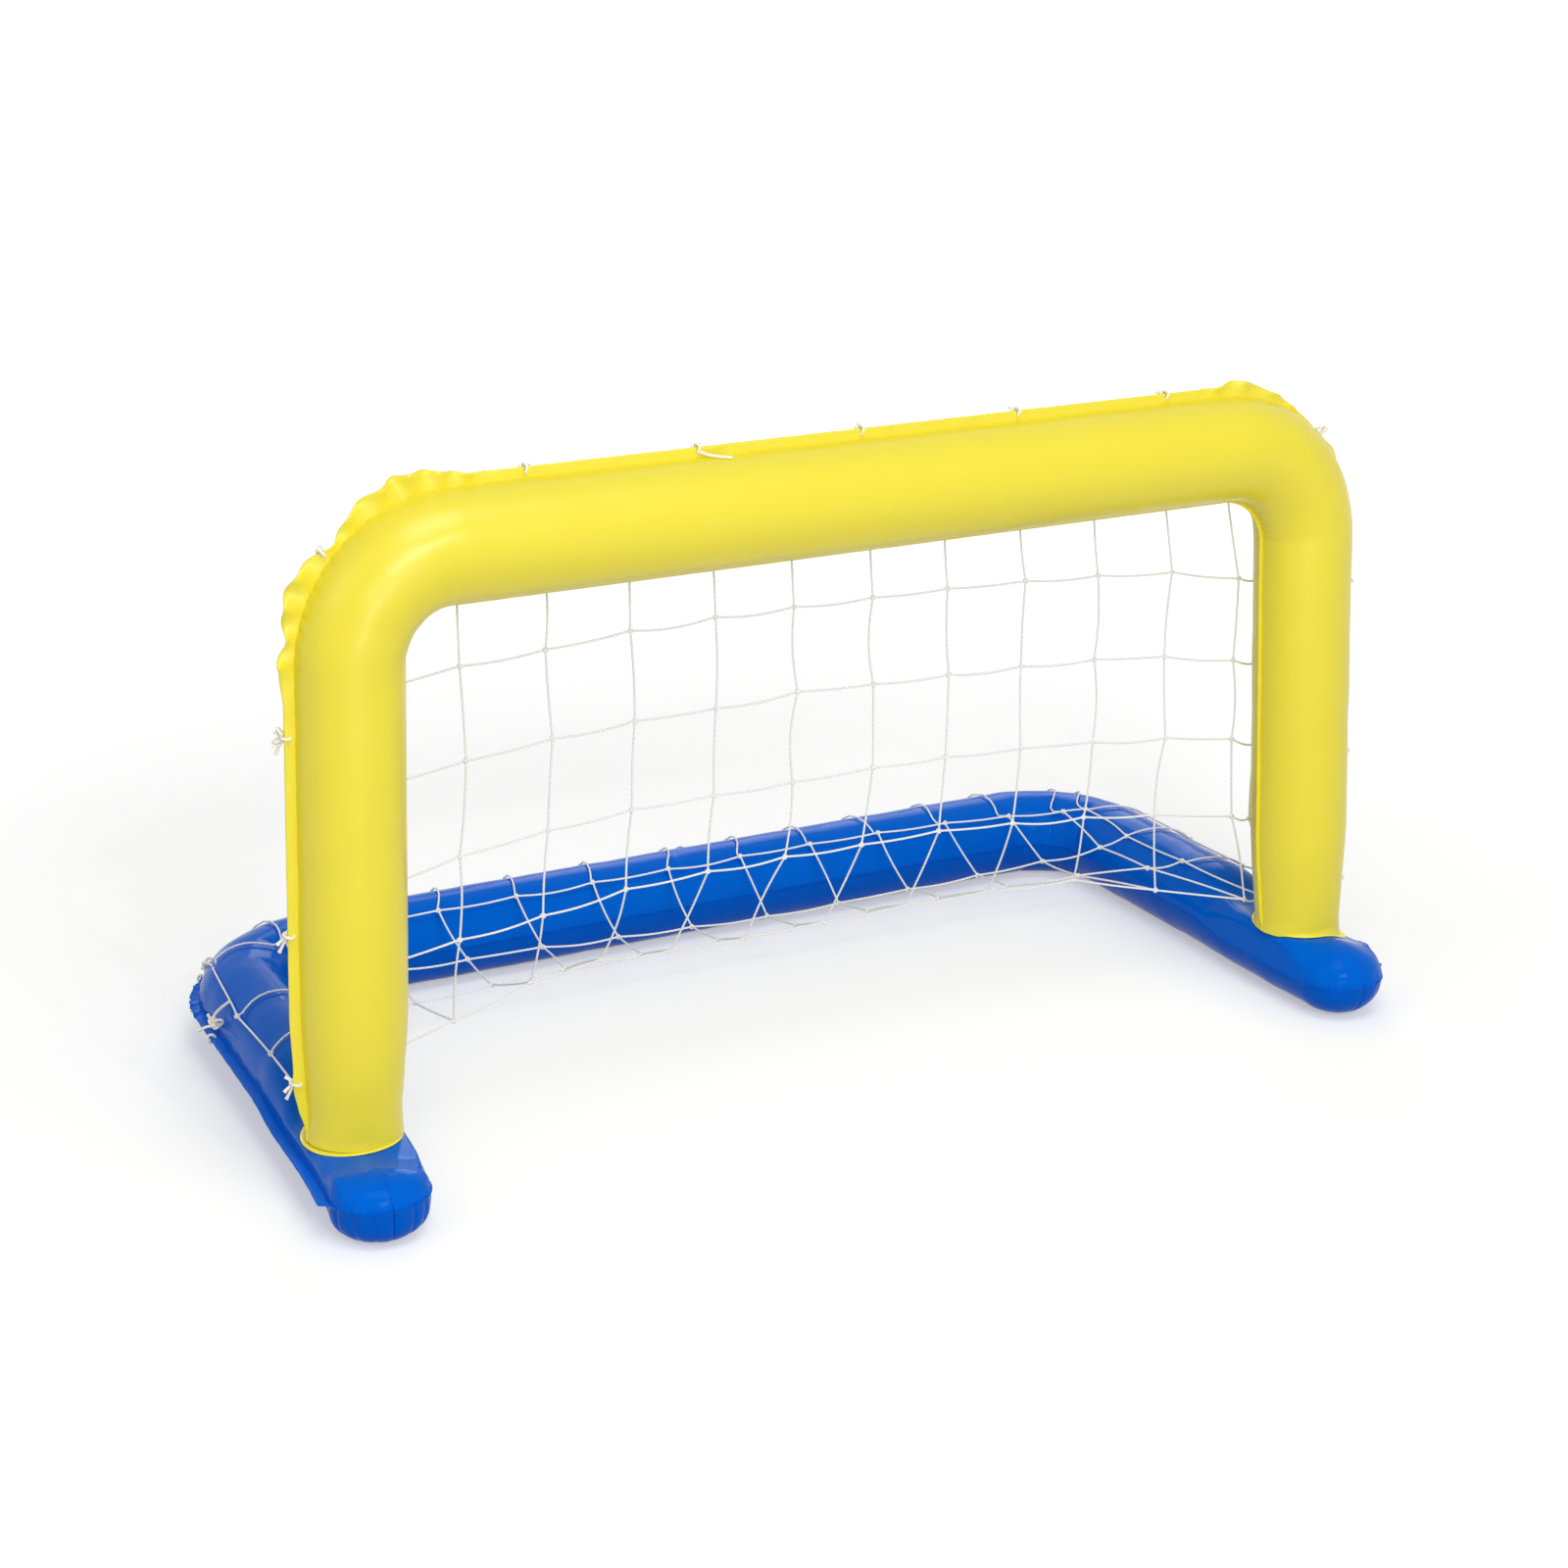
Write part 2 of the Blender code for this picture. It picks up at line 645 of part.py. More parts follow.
for k in range(rows + 1):
    for j in range(columns + 1):
        here = part_of(k, j)
        for w in (-1, 1):
            net_meshes[here].faces.new([block[k, j, u, v, w] for u, v in side_order])
        for way, step, table in (("row", (0, 1), along_row), ("column", (1, 0), down_column)):
            for direction in (-1, 1):
                end = (k + step[0] * direction, j + step[1] * direction)
                inside = 0 <= end[0] <= rows and 0 <= end[1] <= columns
                name = max(here, part_of(*end), key=net_parts.index) if inside else None
                if name != here:
                    net_meshes[here].faces.new(side_ring(k, j, way, direction))
                if not inside or direction < 0:
                    continue
                line = table[k, j]
                ring = end_ring(k, j, way, 1, name)
                path = [knots[k][j]] + line + [knots[end[0]][end[1]]]
                for i, p in enumerate(line):
                    ahead = (path[i + 2] - path[i]).normalized()
                    share = (i + 1) / (len(line) + 1)
                    off = axes_at[k, j][2].lerp(axes_at[end][2], share)
                    off = (off - ahead * off.dot(ahead)).normalized()
                    across = off.cross(ahead) if way == "row" else ahead.cross(off)
                    corners = [p + (across * u + off * w) * half for u, w in side_order]
                    ahead_ring = [net_meshes[name].verts.new(corner) for corner in corners]
                    join(net_meshes[name], ring, ahead_ring)
                    ring = ahead_ring
                join(net_meshes[name], ring, end_ring(*end, way, -1, name))
for name in net_parts:
    place(name, net_meshes[name], white)

# Net ties: a cord through a flange eyelet and round the net's edge, knotted, with cut ends.
# Each frame has its first axis outward from the tube and its second away from the flange, to the net.


def cord_tube(name, points, radius, sides=4):
    """A short cord with flat ends through the given points."""
    rings = []
    for i, p in enumerate(points):
        ahead = points[min(i + 1, len(points) - 1)] - points[max(i - 1, 0)]
        turn_to = ahead.to_track_quat("Z", "X").to_matrix()
        rings.append([p + turn_to @ Vector((radius * math.cos(2 * math.pi * s / sides),
                                            radius * math.sin(2 * math.pi * s / sides), 0))
                      for s in range(sides)])
    return loft(name, rings)


def tie(name, edge_point, out, off, panels, bows=(), lean_share=1.0, extra=None):
    """One tie at a point of the tube's edge line; out and off are unit directions."""
    along = out.cross(off)
    hole = edge_point + out * (flange - eyelet_in)
    middle = hole + out * tie_ring
    ring_frame = Matrix((out, off, along)).transposed().to_4x4()
    ring_frame.translation = middle
    section = [(tie_ring + tie_cord / 2 * math.cos(2 * math.pi * s / 4),
                tie_cord / 2 * math.sin(2 * math.pi * s / 4)) for s in range(4)]
    body = turned(name, section, ring_frame, 9, white)
    seat = middle + (out + off).normalized() * (tie_ring + knot / 3)
    ball = bmesh.new()
    bmesh.ops.create_uvsphere(ball, u_segments=6, v_segments=4, radius=knot)
    bmesh.ops.transform(ball, matrix=Matrix.Translation(seat), verts=ball.verts)
    combine(body, place(name + "_knot", ball), "UNION")
    first = along * long_end.x * lean_share + out * long_end.y + off * long_end.z
    for n, way in enumerate((first, out * 0.7 + along * -0.6 + off * 0.6)):
        reach = tail * (1.0 if n == 0 else 0.6)
        points = [seat, seat + way.normalized() * reach]
        combine(body, cord_tube(name + "_end_%d" % n, points, tie_cord / 2 * 0.9), "UNION")
    for n, turn_share in enumerate(bows):
        way = (off + out * 0.6 + along * turn_share).normalized()
        bow_frame = way.to_track_quat("X", "Z").to_matrix().to_4x4()
        bow_frame.translation = seat + way * (bow + knot / 2)
        loop = [(bow + tie_cord / 2 * 0.8 * math.cos(2 * math.pi * s / 4 + 0.4),
                 tie_cord / 2 * 0.8 * math.sin(2 * math.pi * s / 4 + 0.4)) for s in range(4)]
        combine(body, turned(name + "_bow_%d" % n, loop, bow_frame, 9), "UNION")
    if extra:
        for n, line in enumerate(extra(seat)):
            combine(body, cord_tube(name + "_lead_%d" % n, line, tie_cord / 2 * 0.9), "UNION")
    punch = bmesh.new()
    bmesh.ops.create_cone(punch, cap_ends=True, segments=6, radius1=eyelet, radius2=eyelet, depth=flange)
    punch_frame = Matrix((out, along, -off)).transposed().to_4x4()
    punch_frame.translation = hole
    bmesh.ops.transform(punch, matrix=punch_frame, verts=punch.verts)
    hole_cut = place(name + "_eyelet", punch)
    for panel in panels:
        combine(panel, hole_cut, "DIFFERENCE")
    return body


rearward = Vector((0, 1, 0))
upward = Vector((0, 0, 1))
arch_panels = (arch_front, arch_rear)
base_panels = (base_top, base_bottom)
lace_pitch = mesh * 2                      # a tie at every second strand

for n in range(-2, 3):
    x = n * lace_pitch
    spot = Vector((x, 0, bar_axis + bar_radius))
    tie("top_tie_%d" % (n + 3), spot, upward, rearward, arch_panels, bows=(0.9, -0.7) if n == 1 else ())
    spot = Vector((x, rear_axis + base_radius, base_mid))
    tie("rear_tie_%d" % (n + 3), spot, rearward, upward, base_panels, bows=(0.7,) if n == -1 else ())

side_tie_heights = (0.529, 0.308, 0.137)
for side, word in ((-1, "left"), (1, "right")):
    def facing(v, s=side):
        return v if s > 0 else mirrored(v)
    for n, z in enumerate(side_tie_heights):
        spot = post_point(z) + post_out * post_width(z)
        tie("%s_post_tie_%d" % (word, n + 1), facing(spot), facing(post_out), rearward, arch_panels,
            bows=(0.8,) if n == 0 else (), lean_share=0.8 * side)
    radius = post_radius + (bar_radius - post_radius) * (corner_turn - lean) / turn
    spot = arch_centre + corner_out * (arch_bend + radius)
    tie(word + "_arch_corner_tie", facing(spot), facing(corner_out), rearward, arch_panels)
    spot = bend_centre + base_corner_out * (base_bend + base_radius)
    tie(word + "_base_corner_tie", facing(spot), facing(base_corner_out), upward, base_panels,
        bows=(0.8,) if side < 0 else (), lean_share=side)

    # The leg tie also climbs the tube's flank to the net's edge on top of the leg
    low = knots[8][0 if side < 0 else columns]
    high = knots[9][0 if side < 0 else columns]
    lace_spot = low.lerp(high, 0.3)
    y = lace_spot.y
    spot = leg_point(y) + leg_out * base_radius

    def climb(seat, s=side, at=lace_spot, y=y):
        """A cord up the flank, ending in an open hook over the net's edge twine."""
        middle = leg_point(y)
        ride = base_radius + tie_cord / 2 + weld_gap * 3
        line = [seat]
        target = Vector((at.x if s > 0 else -at.x, y, at.z)) - middle
        end_angle = math.atan2(target.z, target.x)
        for share in (0.45, 0.7):
            a = end_angle * share
            line.append(facing(middle + Vector((math.cos(a), 0, math.sin(a))) * ride, s))
        hook = target.length + twine * 0.75 + tie_cord / 2 + weld_gap
        for a in (end_angle * 0.86, end_angle * 1.1):
            line.append(facing(middle + Vector((math.cos(a), 0, math.sin(a))) * hook, s))
        return [line]

    tie(word + "_leg_tie", facing(spot), facing(leg_out), upward, base_panels, extra=climb)

# Valves: a welded seat with a collar, a stem that pushes in flush, a check flap inside,
# and a plug kept by a strap. One is on the bar's back, one on the rear tube's back.


valve_sides = 16
facet_share = math.cos(math.pi / 4 / (facets + 0.5))    # a facet's middle lies this far out


def arc_shell(radius, offset, thick):
    """A strip of faceted tube skin lying on the tube's top or rear side, for a seat disc."""
    step = math.pi / 2 / (facets + 0.5)
    angles = [step * (k + 1) for k in range(-1, facets)]
    full = angles + [math.pi - a for a in angles[::-1]]
    outer = [(radius + offset + thick, a) for a in full]
    inner = [(radius + offset, a) for a in full[::-1]]
    return outer + inner


def valve(word, tube_middle, tilt, tube_radius, panel, flat_up, ring_colour):
    """Build one valve on a facet of a tube that runs along X; tilt is its axis above level."""
    axis = Vector((0, math.cos(tilt), math.sin(tilt)))
    across = Vector((1, 0, 0))
    frame = Matrix((across, axis.cross(across), axis)).transposed().to_4x4()
    seat_point = tube_middle + axis * tube_radius * facet_share
    frame.translation = seat_point

    rings = []
    for dx in (-valve_seat * 1.2, valve_seat * 1.2):
        ring = []
        for r, a in arc_shell(tube_radius, weld_gap, valve_wall):
            if flat_up:
                p = Vector((dx, r * math.cos(a), r * math.sin(a)))
            else:
                p = Vector((dx, r * math.sin(a), r * math.cos(a)))
            ring.append(tube_middle + p)
        rings.append(ring)
    seat = loft(word + "_valve_seat", rings, ring_colour)
    disc = [(0.0, -tube_radius / 4), (valve_seat, -tube_radius / 4), (valve_seat, tube_radius / 4), (0.0, tube_radius / 4)]
    combine(seat, turned(word + "_seat_outline", disc, frame, valve_sides), "INTERSECT")
    bore = stem_radius + play
    neck = [(bore - play / 3, 0.0), (collar, 0.0), (collar, collar_rise), (bore - play / 3, collar_rise)]
    combine(seat, turned(word + "_collar", neck, frame, valve_sides), "UNION")
    hole = [(0.0, -tube_radius / 3), (bore, -tube_radius / 3), (bore, tube_radius / 3), (0.0, tube_radius / 3)]
    cut = turned(word + "_bore", hole, frame, valve_sides)
    combine(seat, cut, "DIFFERENCE")
    combine(panel, cut, "DIFFERENCE")

    stem_outline = [
        (stem_bore, -stem_in), (stem_radius, -stem_in), (stem_radius, stem_out - lip),
        (stem_lip, stem_out - lip), (stem_lip, stem_out), (stem_bore, stem_out)]
    pivot(turned(word + "_valve_stem", stem_outline, frame, valve_sides, ring_colour), seat_point)

    head_low = stem_out + play
    plug_outline = [
        (0.0, stem_out - plug_depth), (plug_end, stem_out - plug_depth), (plug_body, stem_out - plug_cap / 2),
        (plug_body, head_low), (plug_head, head_low), (plug_head, head_low + plug_cap), (0.0, head_low + plug_cap)]
    plug = turned(word + "_valve_plug", plug_outline, frame, valve_sides, ring_colour)
    pull = bmesh.new()
    bmesh.ops.create_cube(pull, size=1.0)
    size = Matrix.Diagonal((plug_tab * 2, strap_width * 1.4, plug_cap * 0.8, 1.0))
    shift = Matrix.Translation(Vector((-plug_head, 0, head_low + plug_cap / 2)))
    bmesh.ops.transform(pull, matrix=frame @ shift @ size, verts=pull.verts)
    combine(plug, place(word + "_plug_tab", pull), "UNION")
    pivot(plug, seat_point)

    # strap: a flat U from the stem's lip round to the plug's head
    low = stem_out - lip / 2
    high = head_low + plug_cap / 2
    start = stem_lip + play
    end = plug_head + play
    reach = start + strap_reach
    path = [(start, low - strap / 2), (reach - strap, low - strap / 2), (reach, low + strap / 2), (reach, high - strap / 2),
            (reach - strap, high + strap / 2), (end, high + strap / 2), (end, high - strap / 2),
            (reach - strap, high - strap / 2), (reach - strap, low + strap / 2), (start, low + strap / 2)]
    sides = []
    for v in (-strap_width / 2, strap_width / 2):
        sides.append([frame @ Vector((a, v, h)) for a, h in path])
    loft(word + "_plug_strap", sides, ring_colour)

    flap_top = -stem_in - play
    flap_outline = [(0.0, flap_top - flap_wall), (flap_radius, flap_top - flap_wall), (flap_radius, flap_top), (0.0, flap_top)]
    hinge = frame @ Vector((flap_radius, 0, flap_top - flap_wall / 2))
    pivot(turned(word + "_check_flap", flap_outline, frame, valve_sides, ring_colour), hinge)
    print(word, "axis", axis[:], "seat", (seat_point - to_middle)[:], "flap hinge", (hinge - to_middle)[:])


clear_yellow = material("arch valve vinyl", "F2EC9A", 0.3)
clear_blue = material("base valve vinyl", "3C86E0", 0.3)
arch_valve_x = net_shift - mesh * valve_share
valve("arch", Vector((arch_valve_x, 0, bar_axis)), 0.0, bar_radius, arch_rear, False, clear_yellow)
base_valve_x = net_shift - mesh * valve_share + middle_rows[8][0]
valve("base", Vector((base_valve_x, rear_axis, base_mid)), base_valve_tilt, base_radius, base_top, True, clear_blue)
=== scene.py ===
import math

import bmesh
import bpy
import numpy as np
from mathutils import Matrix


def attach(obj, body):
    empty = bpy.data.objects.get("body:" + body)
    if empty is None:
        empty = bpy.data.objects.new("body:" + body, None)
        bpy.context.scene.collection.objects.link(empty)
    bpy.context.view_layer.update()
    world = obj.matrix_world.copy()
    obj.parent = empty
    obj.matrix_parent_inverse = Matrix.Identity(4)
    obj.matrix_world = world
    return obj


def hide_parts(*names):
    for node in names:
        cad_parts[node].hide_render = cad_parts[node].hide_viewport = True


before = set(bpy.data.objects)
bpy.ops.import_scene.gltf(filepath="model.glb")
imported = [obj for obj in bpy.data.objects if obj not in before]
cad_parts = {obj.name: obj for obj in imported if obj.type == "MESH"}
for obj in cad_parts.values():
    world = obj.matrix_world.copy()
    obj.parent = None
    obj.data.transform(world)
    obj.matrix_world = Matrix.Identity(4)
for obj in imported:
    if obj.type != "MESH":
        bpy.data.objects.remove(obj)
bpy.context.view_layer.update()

# Camera: low and to the left of the mouth, with the long lens that the photograph's outlines
# ask for. The lens is its focal length in picture widths times the sensor's width.
eye = (-1.5409, -3.15425, 1.5148)
yaw, pitch, roll = 0.4585, 0.3323, -0.0061
focal_widths = 3093.9 / 1600


def placed(name, data):
    """A new object with this data, linked to the scene."""
    made = bpy.data.objects.new(name, data)
    bpy.context.scene.collection.objects.link(made)
    return made


def standing(*columns):
    """The matrix of an object with these three axes, at this place."""
    made = Matrix.Identity(4)
    for column, axis in enumerate(columns):
        made.col[column][:3] = axis
    return made


ahead = np.array((math.sin(yaw) * math.cos(pitch), math.cos(yaw) * math.cos(pitch), -math.sin(pitch)))
level = np.array((math.cos(yaw), -math.sin(yaw), 0.0))
over = np.cross(level, ahead)
camera = placed("camera", bpy.data.cameras.new("camera"))
camera.matrix_world = standing(level * math.cos(roll) + over * math.sin(roll),
                               over * math.cos(roll) - level * math.sin(roll), -ahead, eye)
camera.data.sensor_width = 36.0
camera.data.lens = focal_widths * camera.data.sensor_width
bpy.context.scene.camera = camera
bpy.context.scene.view_settings.view_transform = "Standard"

# Stage: a plain white floor that runs to the horizon, under a white sky, with soft lamps in
# front, above, at the left and behind, and a small one that shows as dots on glossy film.


def linear(colour):
    """The linear light values of a six digit sRGB colour."""
    srgb = np.array([int(colour[i:i + 2], 16) for i in (0, 2, 4)]) / 255
    light = np.where(srgb <= 0.04045, srgb / 12.92, ((srgb + 0.055) / 1.055) ** 2.4)
    return (*light, 1.0)


def fill(node, inputs):
    """Gives a node's inputs their values, or links them to the outputs of other nodes."""
    for key, value in dict(inputs).items():
        if isinstance(value, bpy.types.NodeSocket):
            node.id_data.links.new(value, node.inputs[key])
        else:
            node.inputs[key].default_value = value


def add(tree, kind, inputs=(), **settings):
    """Adds one node, with its inputs and its own settings."""
    made = tree.nodes.new(kind)
    for key, value in settings.items():
        setattr(made, key, value)
    fill(made, inputs)
    return made


def shaded(name):
    """A new material, its node tree and its Principled node."""
    made = bpy.data.materials.new(name)
    made.use_nodes = True
    return made, made.node_tree, made.node_tree.nodes["Principled BSDF"]


def backdrop(tree, plain, seen):
    """Mixes two shaders: plain is what lights the goal, and seen is what the camera, a glossy
    surface and a clear one show of it."""
    ray = add(tree, "ShaderNodeLightPath")
    share = ray.outputs["Is Camera Ray"]
    for kind in ("Is Glossy Ray", "Is Transmission Ray"):
        share = add(tree, "ShaderNodeMath", {0: share, 1: ray.outputs[kind]}, operation="MAXIMUM").outputs[0]
    return add(tree, "ShaderNodeMixShader", {0: share, 1: plain.outputs[0], 2: seen.outputs[0]}).outputs[0]


floor_half, floor_drop = 40.0, 0.0006
floor_corners = [(x * floor_half, y * floor_half, -floor_drop)
                 for x, y in ((-1, -1), (1, -1), (1, 1), (-1, 1))]
floor_mesh = bpy.data.meshes.new("floor")
floor_mesh.from_pydata(floor_corners, [], [(0, 1, 2, 3)])
floor_paint, floor_tree, floor_shader = shaded("white painted floor")
fill(floor_shader, {"Base Color": linear("DADADA"), "Roughness": 0.8, "Specular IOR Level": 0.0})
# the camera sees the floor lifted to white, more so where the lamps no longer reach, with the
# goal's shadow still on it: the lift grows from near_lift to far_lift between the two distances
lift_start, lift_end = 0.9, 4.5
near_lift, far_lift = 0.4, 0.9
floor_place = add(floor_tree, "ShaderNodeTexCoord")
floor_far = add(floor_tree, "ShaderNodeVectorMath", {0: floor_place.outputs["Object"]}, operation="LENGTH")
lift_share = add(floor_tree, "ShaderNodeMapRange",
                 {0: floor_far.outputs["Value"], 1: lift_start, 2: lift_end, 3: near_lift, 4: far_lift})
lift = add(floor_tree, "ShaderNodeEmission", {"Color": linear("FFFFFF"), "Strength": lift_share.outputs[0]})
lifted = add(floor_tree, "ShaderNodeAddShader", {0: floor_shader.outputs[0], 1: lift.outputs[0]})
fill(floor_tree.nodes["Material Output"], {0: backdrop(floor_tree, floor_shader, lifted)})
floor_mesh.materials.append(floor_paint)
placed("floor", floor_mesh)

world = bpy.data.worlds.new("white studio")
world.use_nodes = True
sky = world.node_tree
sky.nodes.clear()
dome, white = (add(sky, "ShaderNodeBackground", {"Color": linear("FFFFFF"), "Strength": strength})
               for strength in (0.4, 1.0))
add(sky, "ShaderNodeOutputWorld", {0: backdrop(sky, dome, white)})
bpy.context.scene.world = world

# each lamp's place, its width and height in metres and its power in watts; all face the goal
goal_heart = np.array((0.0, -0.1, 0.35))
for name, spot, wide, tall, watts in (
        ("broad lamp", (-0.9, -4.7, 2.7), 1.1, 1.1, 66.0), ("top lamp", (-0.4, -1.9, 4.4), 2.2, 2.2, 58.0),
        ("low lamp", (-0.8, -4.3, 0.55), 0.25, 0.9, 15.0), ("side lamp", (-4.5, -1.0, 3.0), 2.4, 2.4, 22.0),
        ("small lamp", (0.1, -4.6, 3.2), 0.13, 0.13, 18.0), ("back lamp", (2.5, 4.5, 3.0), 2.4, 2.4, 50.0)):
    light = bpy.data.lights.new(name, "AREA")
    light.shape = "RECTANGLE"
    light.size = wide
    light.size_y = tall
    light.energy = watts
    lamp = placed(name, light)
    lamp.visible_camera = False
    back = np.array(spot) - goal_heart
    back /= np.linalg.norm(back)
    right = np.cross((0.0, 0.0, 1.0), back)
    right /= np.linalg.norm(right)
    lamp.matrix_world = standing(right, np.cross(back, right), back, spot)

# Base: a U of two blue vinyl sheets, welded edge to edge along an outer and an inner flange and
# blown up to a tube. The legs are pressed lower under the arch, and the tips and the outer side
# of the rear bends pucker at the weld, because their edge is longer than the room it has.
arch_y = -0.231149           # the arch's plane
film = 0.0005                # thickness of a vinyl sheet
weld_half = 0.00065          # a sheet's outer face stands this far off the weld's middle
flange = 0.012
inner_flange = 0.004
base_inner_flange = 0.0013   # trimmed close, the photograph shows none inside the base
tip_flange = 0.0009
base_radius = 0.0566
leg_x = 0.630
toe_share = 0.027            # the legs draw together towards the rear
leg_splay = 0.010            # and open a little in front of the arch
base_deep = 0.5395           # from the arch's plane back to the middle of the rear tube
rear_y = arch_y + base_deep
tip_ends = (arch_y - 0.160, arch_y - 0.132)    # the left leg lies a little further forward
base_bend = 0.120
quarter_facets = 4.5         # the solids' tubes have this many facets in a quarter circle
# height of the weld over the floor
base_mid = base_radius * math.sin(math.pi / 2 * (quarter_facets - 0.5) / quarter_facets)
low_share = 0.82             # height of the legs under the arch, against the full tube
low_end, full_start = 0.075, 0.170
foot_levels = (0.065, 0.090)     # the posts press the left and the right leg flat to these heights
flange_columns = 5
arc_columns = 57
hole_radius = 0.0105         # the hole in the film under a valve's seat


def waver(s, length, seed):
    """An uneven wave between about -1 and 1: three sines of unlike lengths, shifted by the seed."""
    turn = 2 * np.pi * np.asarray(s) / length
    long_wave = np.sin(turn + seed) + 0.6 * np.sin(1.73 * turn + 2.1 * seed)
    return (long_wave + 0.4 * np.sin(2.89 * turn + 3.7 * seed)) / 2


def pleat(s, pitch, seed):
    """How deep a row of pleats is at s: 1 in a sharp crease, 0 on the round crest between two."""
    return 1 - np.abs(np.sin(np.pi * s / pitch + 0.8 * waver(s, 6 * pitch, seed))) ** 0.55


def ease(x, start, end):
    """0 before start, 1 after end, and a smooth S between them."""
    t = np.clip((x - start) / (end - start), 0, 1)
    return t * t * (3 - 2 * t)


def leg_share(y):
    """Height of a leg against the full tube, at y."""
    return low_share + (1 - low_share) * ease(y - arch_y, low_end, full_start)


def leg_crown(x, y, pressed=True):
    """Height of a leg's upper side at a place. Its section is a half circle of share leg_share;
    under the foot it is a fuller superellipse, and what stands higher than the foot's level is
    pressed down to it. The right foot's level falls towards the outside."""
    d = (np.abs(x) - leg_x + toe_share * (y - arch_y)) * math.cos(math.atan(toe_share)) / base_radius
    behind = 1 - ease(y, arch_y + 0.05, arch_y + 0.13)
    near = ease(y, arch_y - np.where(x > 0, 0.17, 0.25), arch_y - 0.052) * behind * pressed
    power = 2 + np.where(x > 0, 4.0, 1.7) * ease(y, arch_y - 0.085, arch_y - 0.03) * behind * pressed
    high = leg_share(y) * (base_mid + base_radius * (1 - np.clip(np.abs(d), 0, 1) ** power) ** (1 / power))
    level = np.where(x > 0, foot_levels[1] - 0.021 * ease(d, -0.1, 1.0), foot_levels[0])
    return high - 0.86 * near * np.maximum(high - level, 0)


def travel(points):
    """Distance along a line of points, from its first one."""
    steps = np.linalg.norm(np.diff(points, axis=0), axis=1)
    return np.concatenate(([0.0], np.cumsum(steps)))


def both_halves(left, right, signs):
    """The left half, mirrored, from its end to the middle, then the right half back to its end.
    Both come drawn as right halves; a sign says what mirroring does to each of their arrays."""
    return [np.concatenate((a * sign, b[-2::-1])) for a, b, sign in zip(left, right, signs)]


def panel_grid(path, side, swell):
    """A welded panel as a grid of points: rows along the tube, columns from the outer flange's
    edge over the half circle to the inner flange's edge. The path gives each row's middle, its
    outward and inward directions, its radius, the flanges' widths and how far their edges
    ruffle; side is 1 or -1 along the normal, and swell is added to the radius."""
    middle, out, inn, normal, radius, edge_out, edge_in, ruffle = path
    start = math.asin(weld_half / base_radius)
    angle = np.linspace(start, np.pi - start, arc_columns)
    outer = angle < np.pi / 2
    reach = radius[:, None] + swell
    towards = np.where(outer[None, :, None], out[:, None], -inn[:, None])
    arc = middle[:, None] + towards * (reach * np.cos(angle))[..., None]
    arc = arc + normal * (side * reach * np.sin(angle))[..., None]
    share = np.linspace(1, 0, flange_columns)[:-1]
    strips = []
    for way, edge, wave in ((out, edge_out, ruffle[0]), (inn, edge_in, ruffle[1])):
        far = radius[:, None] + edge[:, None] * share
        high = side * weld_half + wave[:, None] * share ** 1.4
        strips.append(middle[:, None] + way[:, None] * far[..., None] + normal * high[..., None])
    grid = np.concatenate((strips[0], arc, strips[1][:, ::-1]), axis=1)
    v = np.concatenate((-flange * share, base_radius * angle, base_radius * np.pi + flange * share[::-1]))
    weld = np.concatenate((share * 0 + 1, angle * 0, share * 0 + 1))
    weld[flange_columns - 1] = weld[-flange_columns] = 0.6
    return grid, v, weld


def finished(name, mesh, paint, sharp, merged=True, outward=True):
    """The object of a new mesh, painted: points in one place merged, faces turned outwards, and
    smooth but for edges sharper than an angle in degrees."""
    work = bmesh.new()
    work.from_mesh(mesh)
    if merged:
        bmesh.ops.remove_doubles(work, verts=work.verts, dist=0.00002)
        bmesh.ops.dissolve_degenerate(work, edges=work.edges, dist=0.00001)
    if outward:
        bmesh.ops.recalc_face_normals(work, faces=work.faces)
    work.to_mesh(mesh)
    work.free()
    mesh.shade_smooth()
    mesh.set_sharp_from_angle(angle=math.radians(sharp))
    mesh.materials.append(paint)
    return placed(name, mesh)


def shell(name, grid, middle, u, v, weld, paint, solid=film, hole=None):
    """A sheet of film from a grid of points: neighbours joined by faces that look away from the
    tube's middle, points in one place merged, and a wall grown inwards. Its UV map is the
    distance along and across in metres, and its attribute says what is welded flange. A hole is
    a place on the tube's middle and the way out of it; the faces round that line are left out."""
    rows, columns = grid.shape[:2]
    first = (np.arange(rows - 1)[:, None] * columns + np.arange(columns - 1)).ravel()
    faces = np.stack((first, first + 1, first + columns + 1, first + columns), -1)
    flat = grid.reshape(-1, 3)
    a, b, c, d = (flat[faces[:, i]] for i in range(4))
    away = (a + c) / 2 - np.repeat(middle[:-1], columns - 1, axis=0)
    if np.einsum("ij,ij->", np.cross(c - a, d - b), away) < 0:
        faces = faces[:, ::-1]
    if hole:
        off = (a + b + c + d) / 4 - hole[0]
        high = off @ hole[1]
        faces = faces[(high < 0) | (np.linalg.norm(off - high[:, None] * hole[1], axis=1) > hole_radius)]
    mesh = bpy.data.meshes.new(name)
    mesh.from_pydata(flat.tolist(), [], faces.tolist())
    place_uv = np.stack((np.repeat(u, columns), np.tile(v, rows)), -1)
    layer = mesh.uv_layers.new(name="film")
    layer.data.foreach_set("uv", place_uv[faces.ravel()].astype(np.float32).ravel())
    mark = mesh.attributes.new("weld", "FLOAT", "POINT")
    mark.data.foreach_set("value", np.tile(weld, rows).astype(np.float32))
    made = finished(name, mesh, paint, 55, outward=False)
    wall = made.modifiers.new("wall", "SOLIDIFY")
    wall.thickness = solid
    wall.offset = -1
    return made


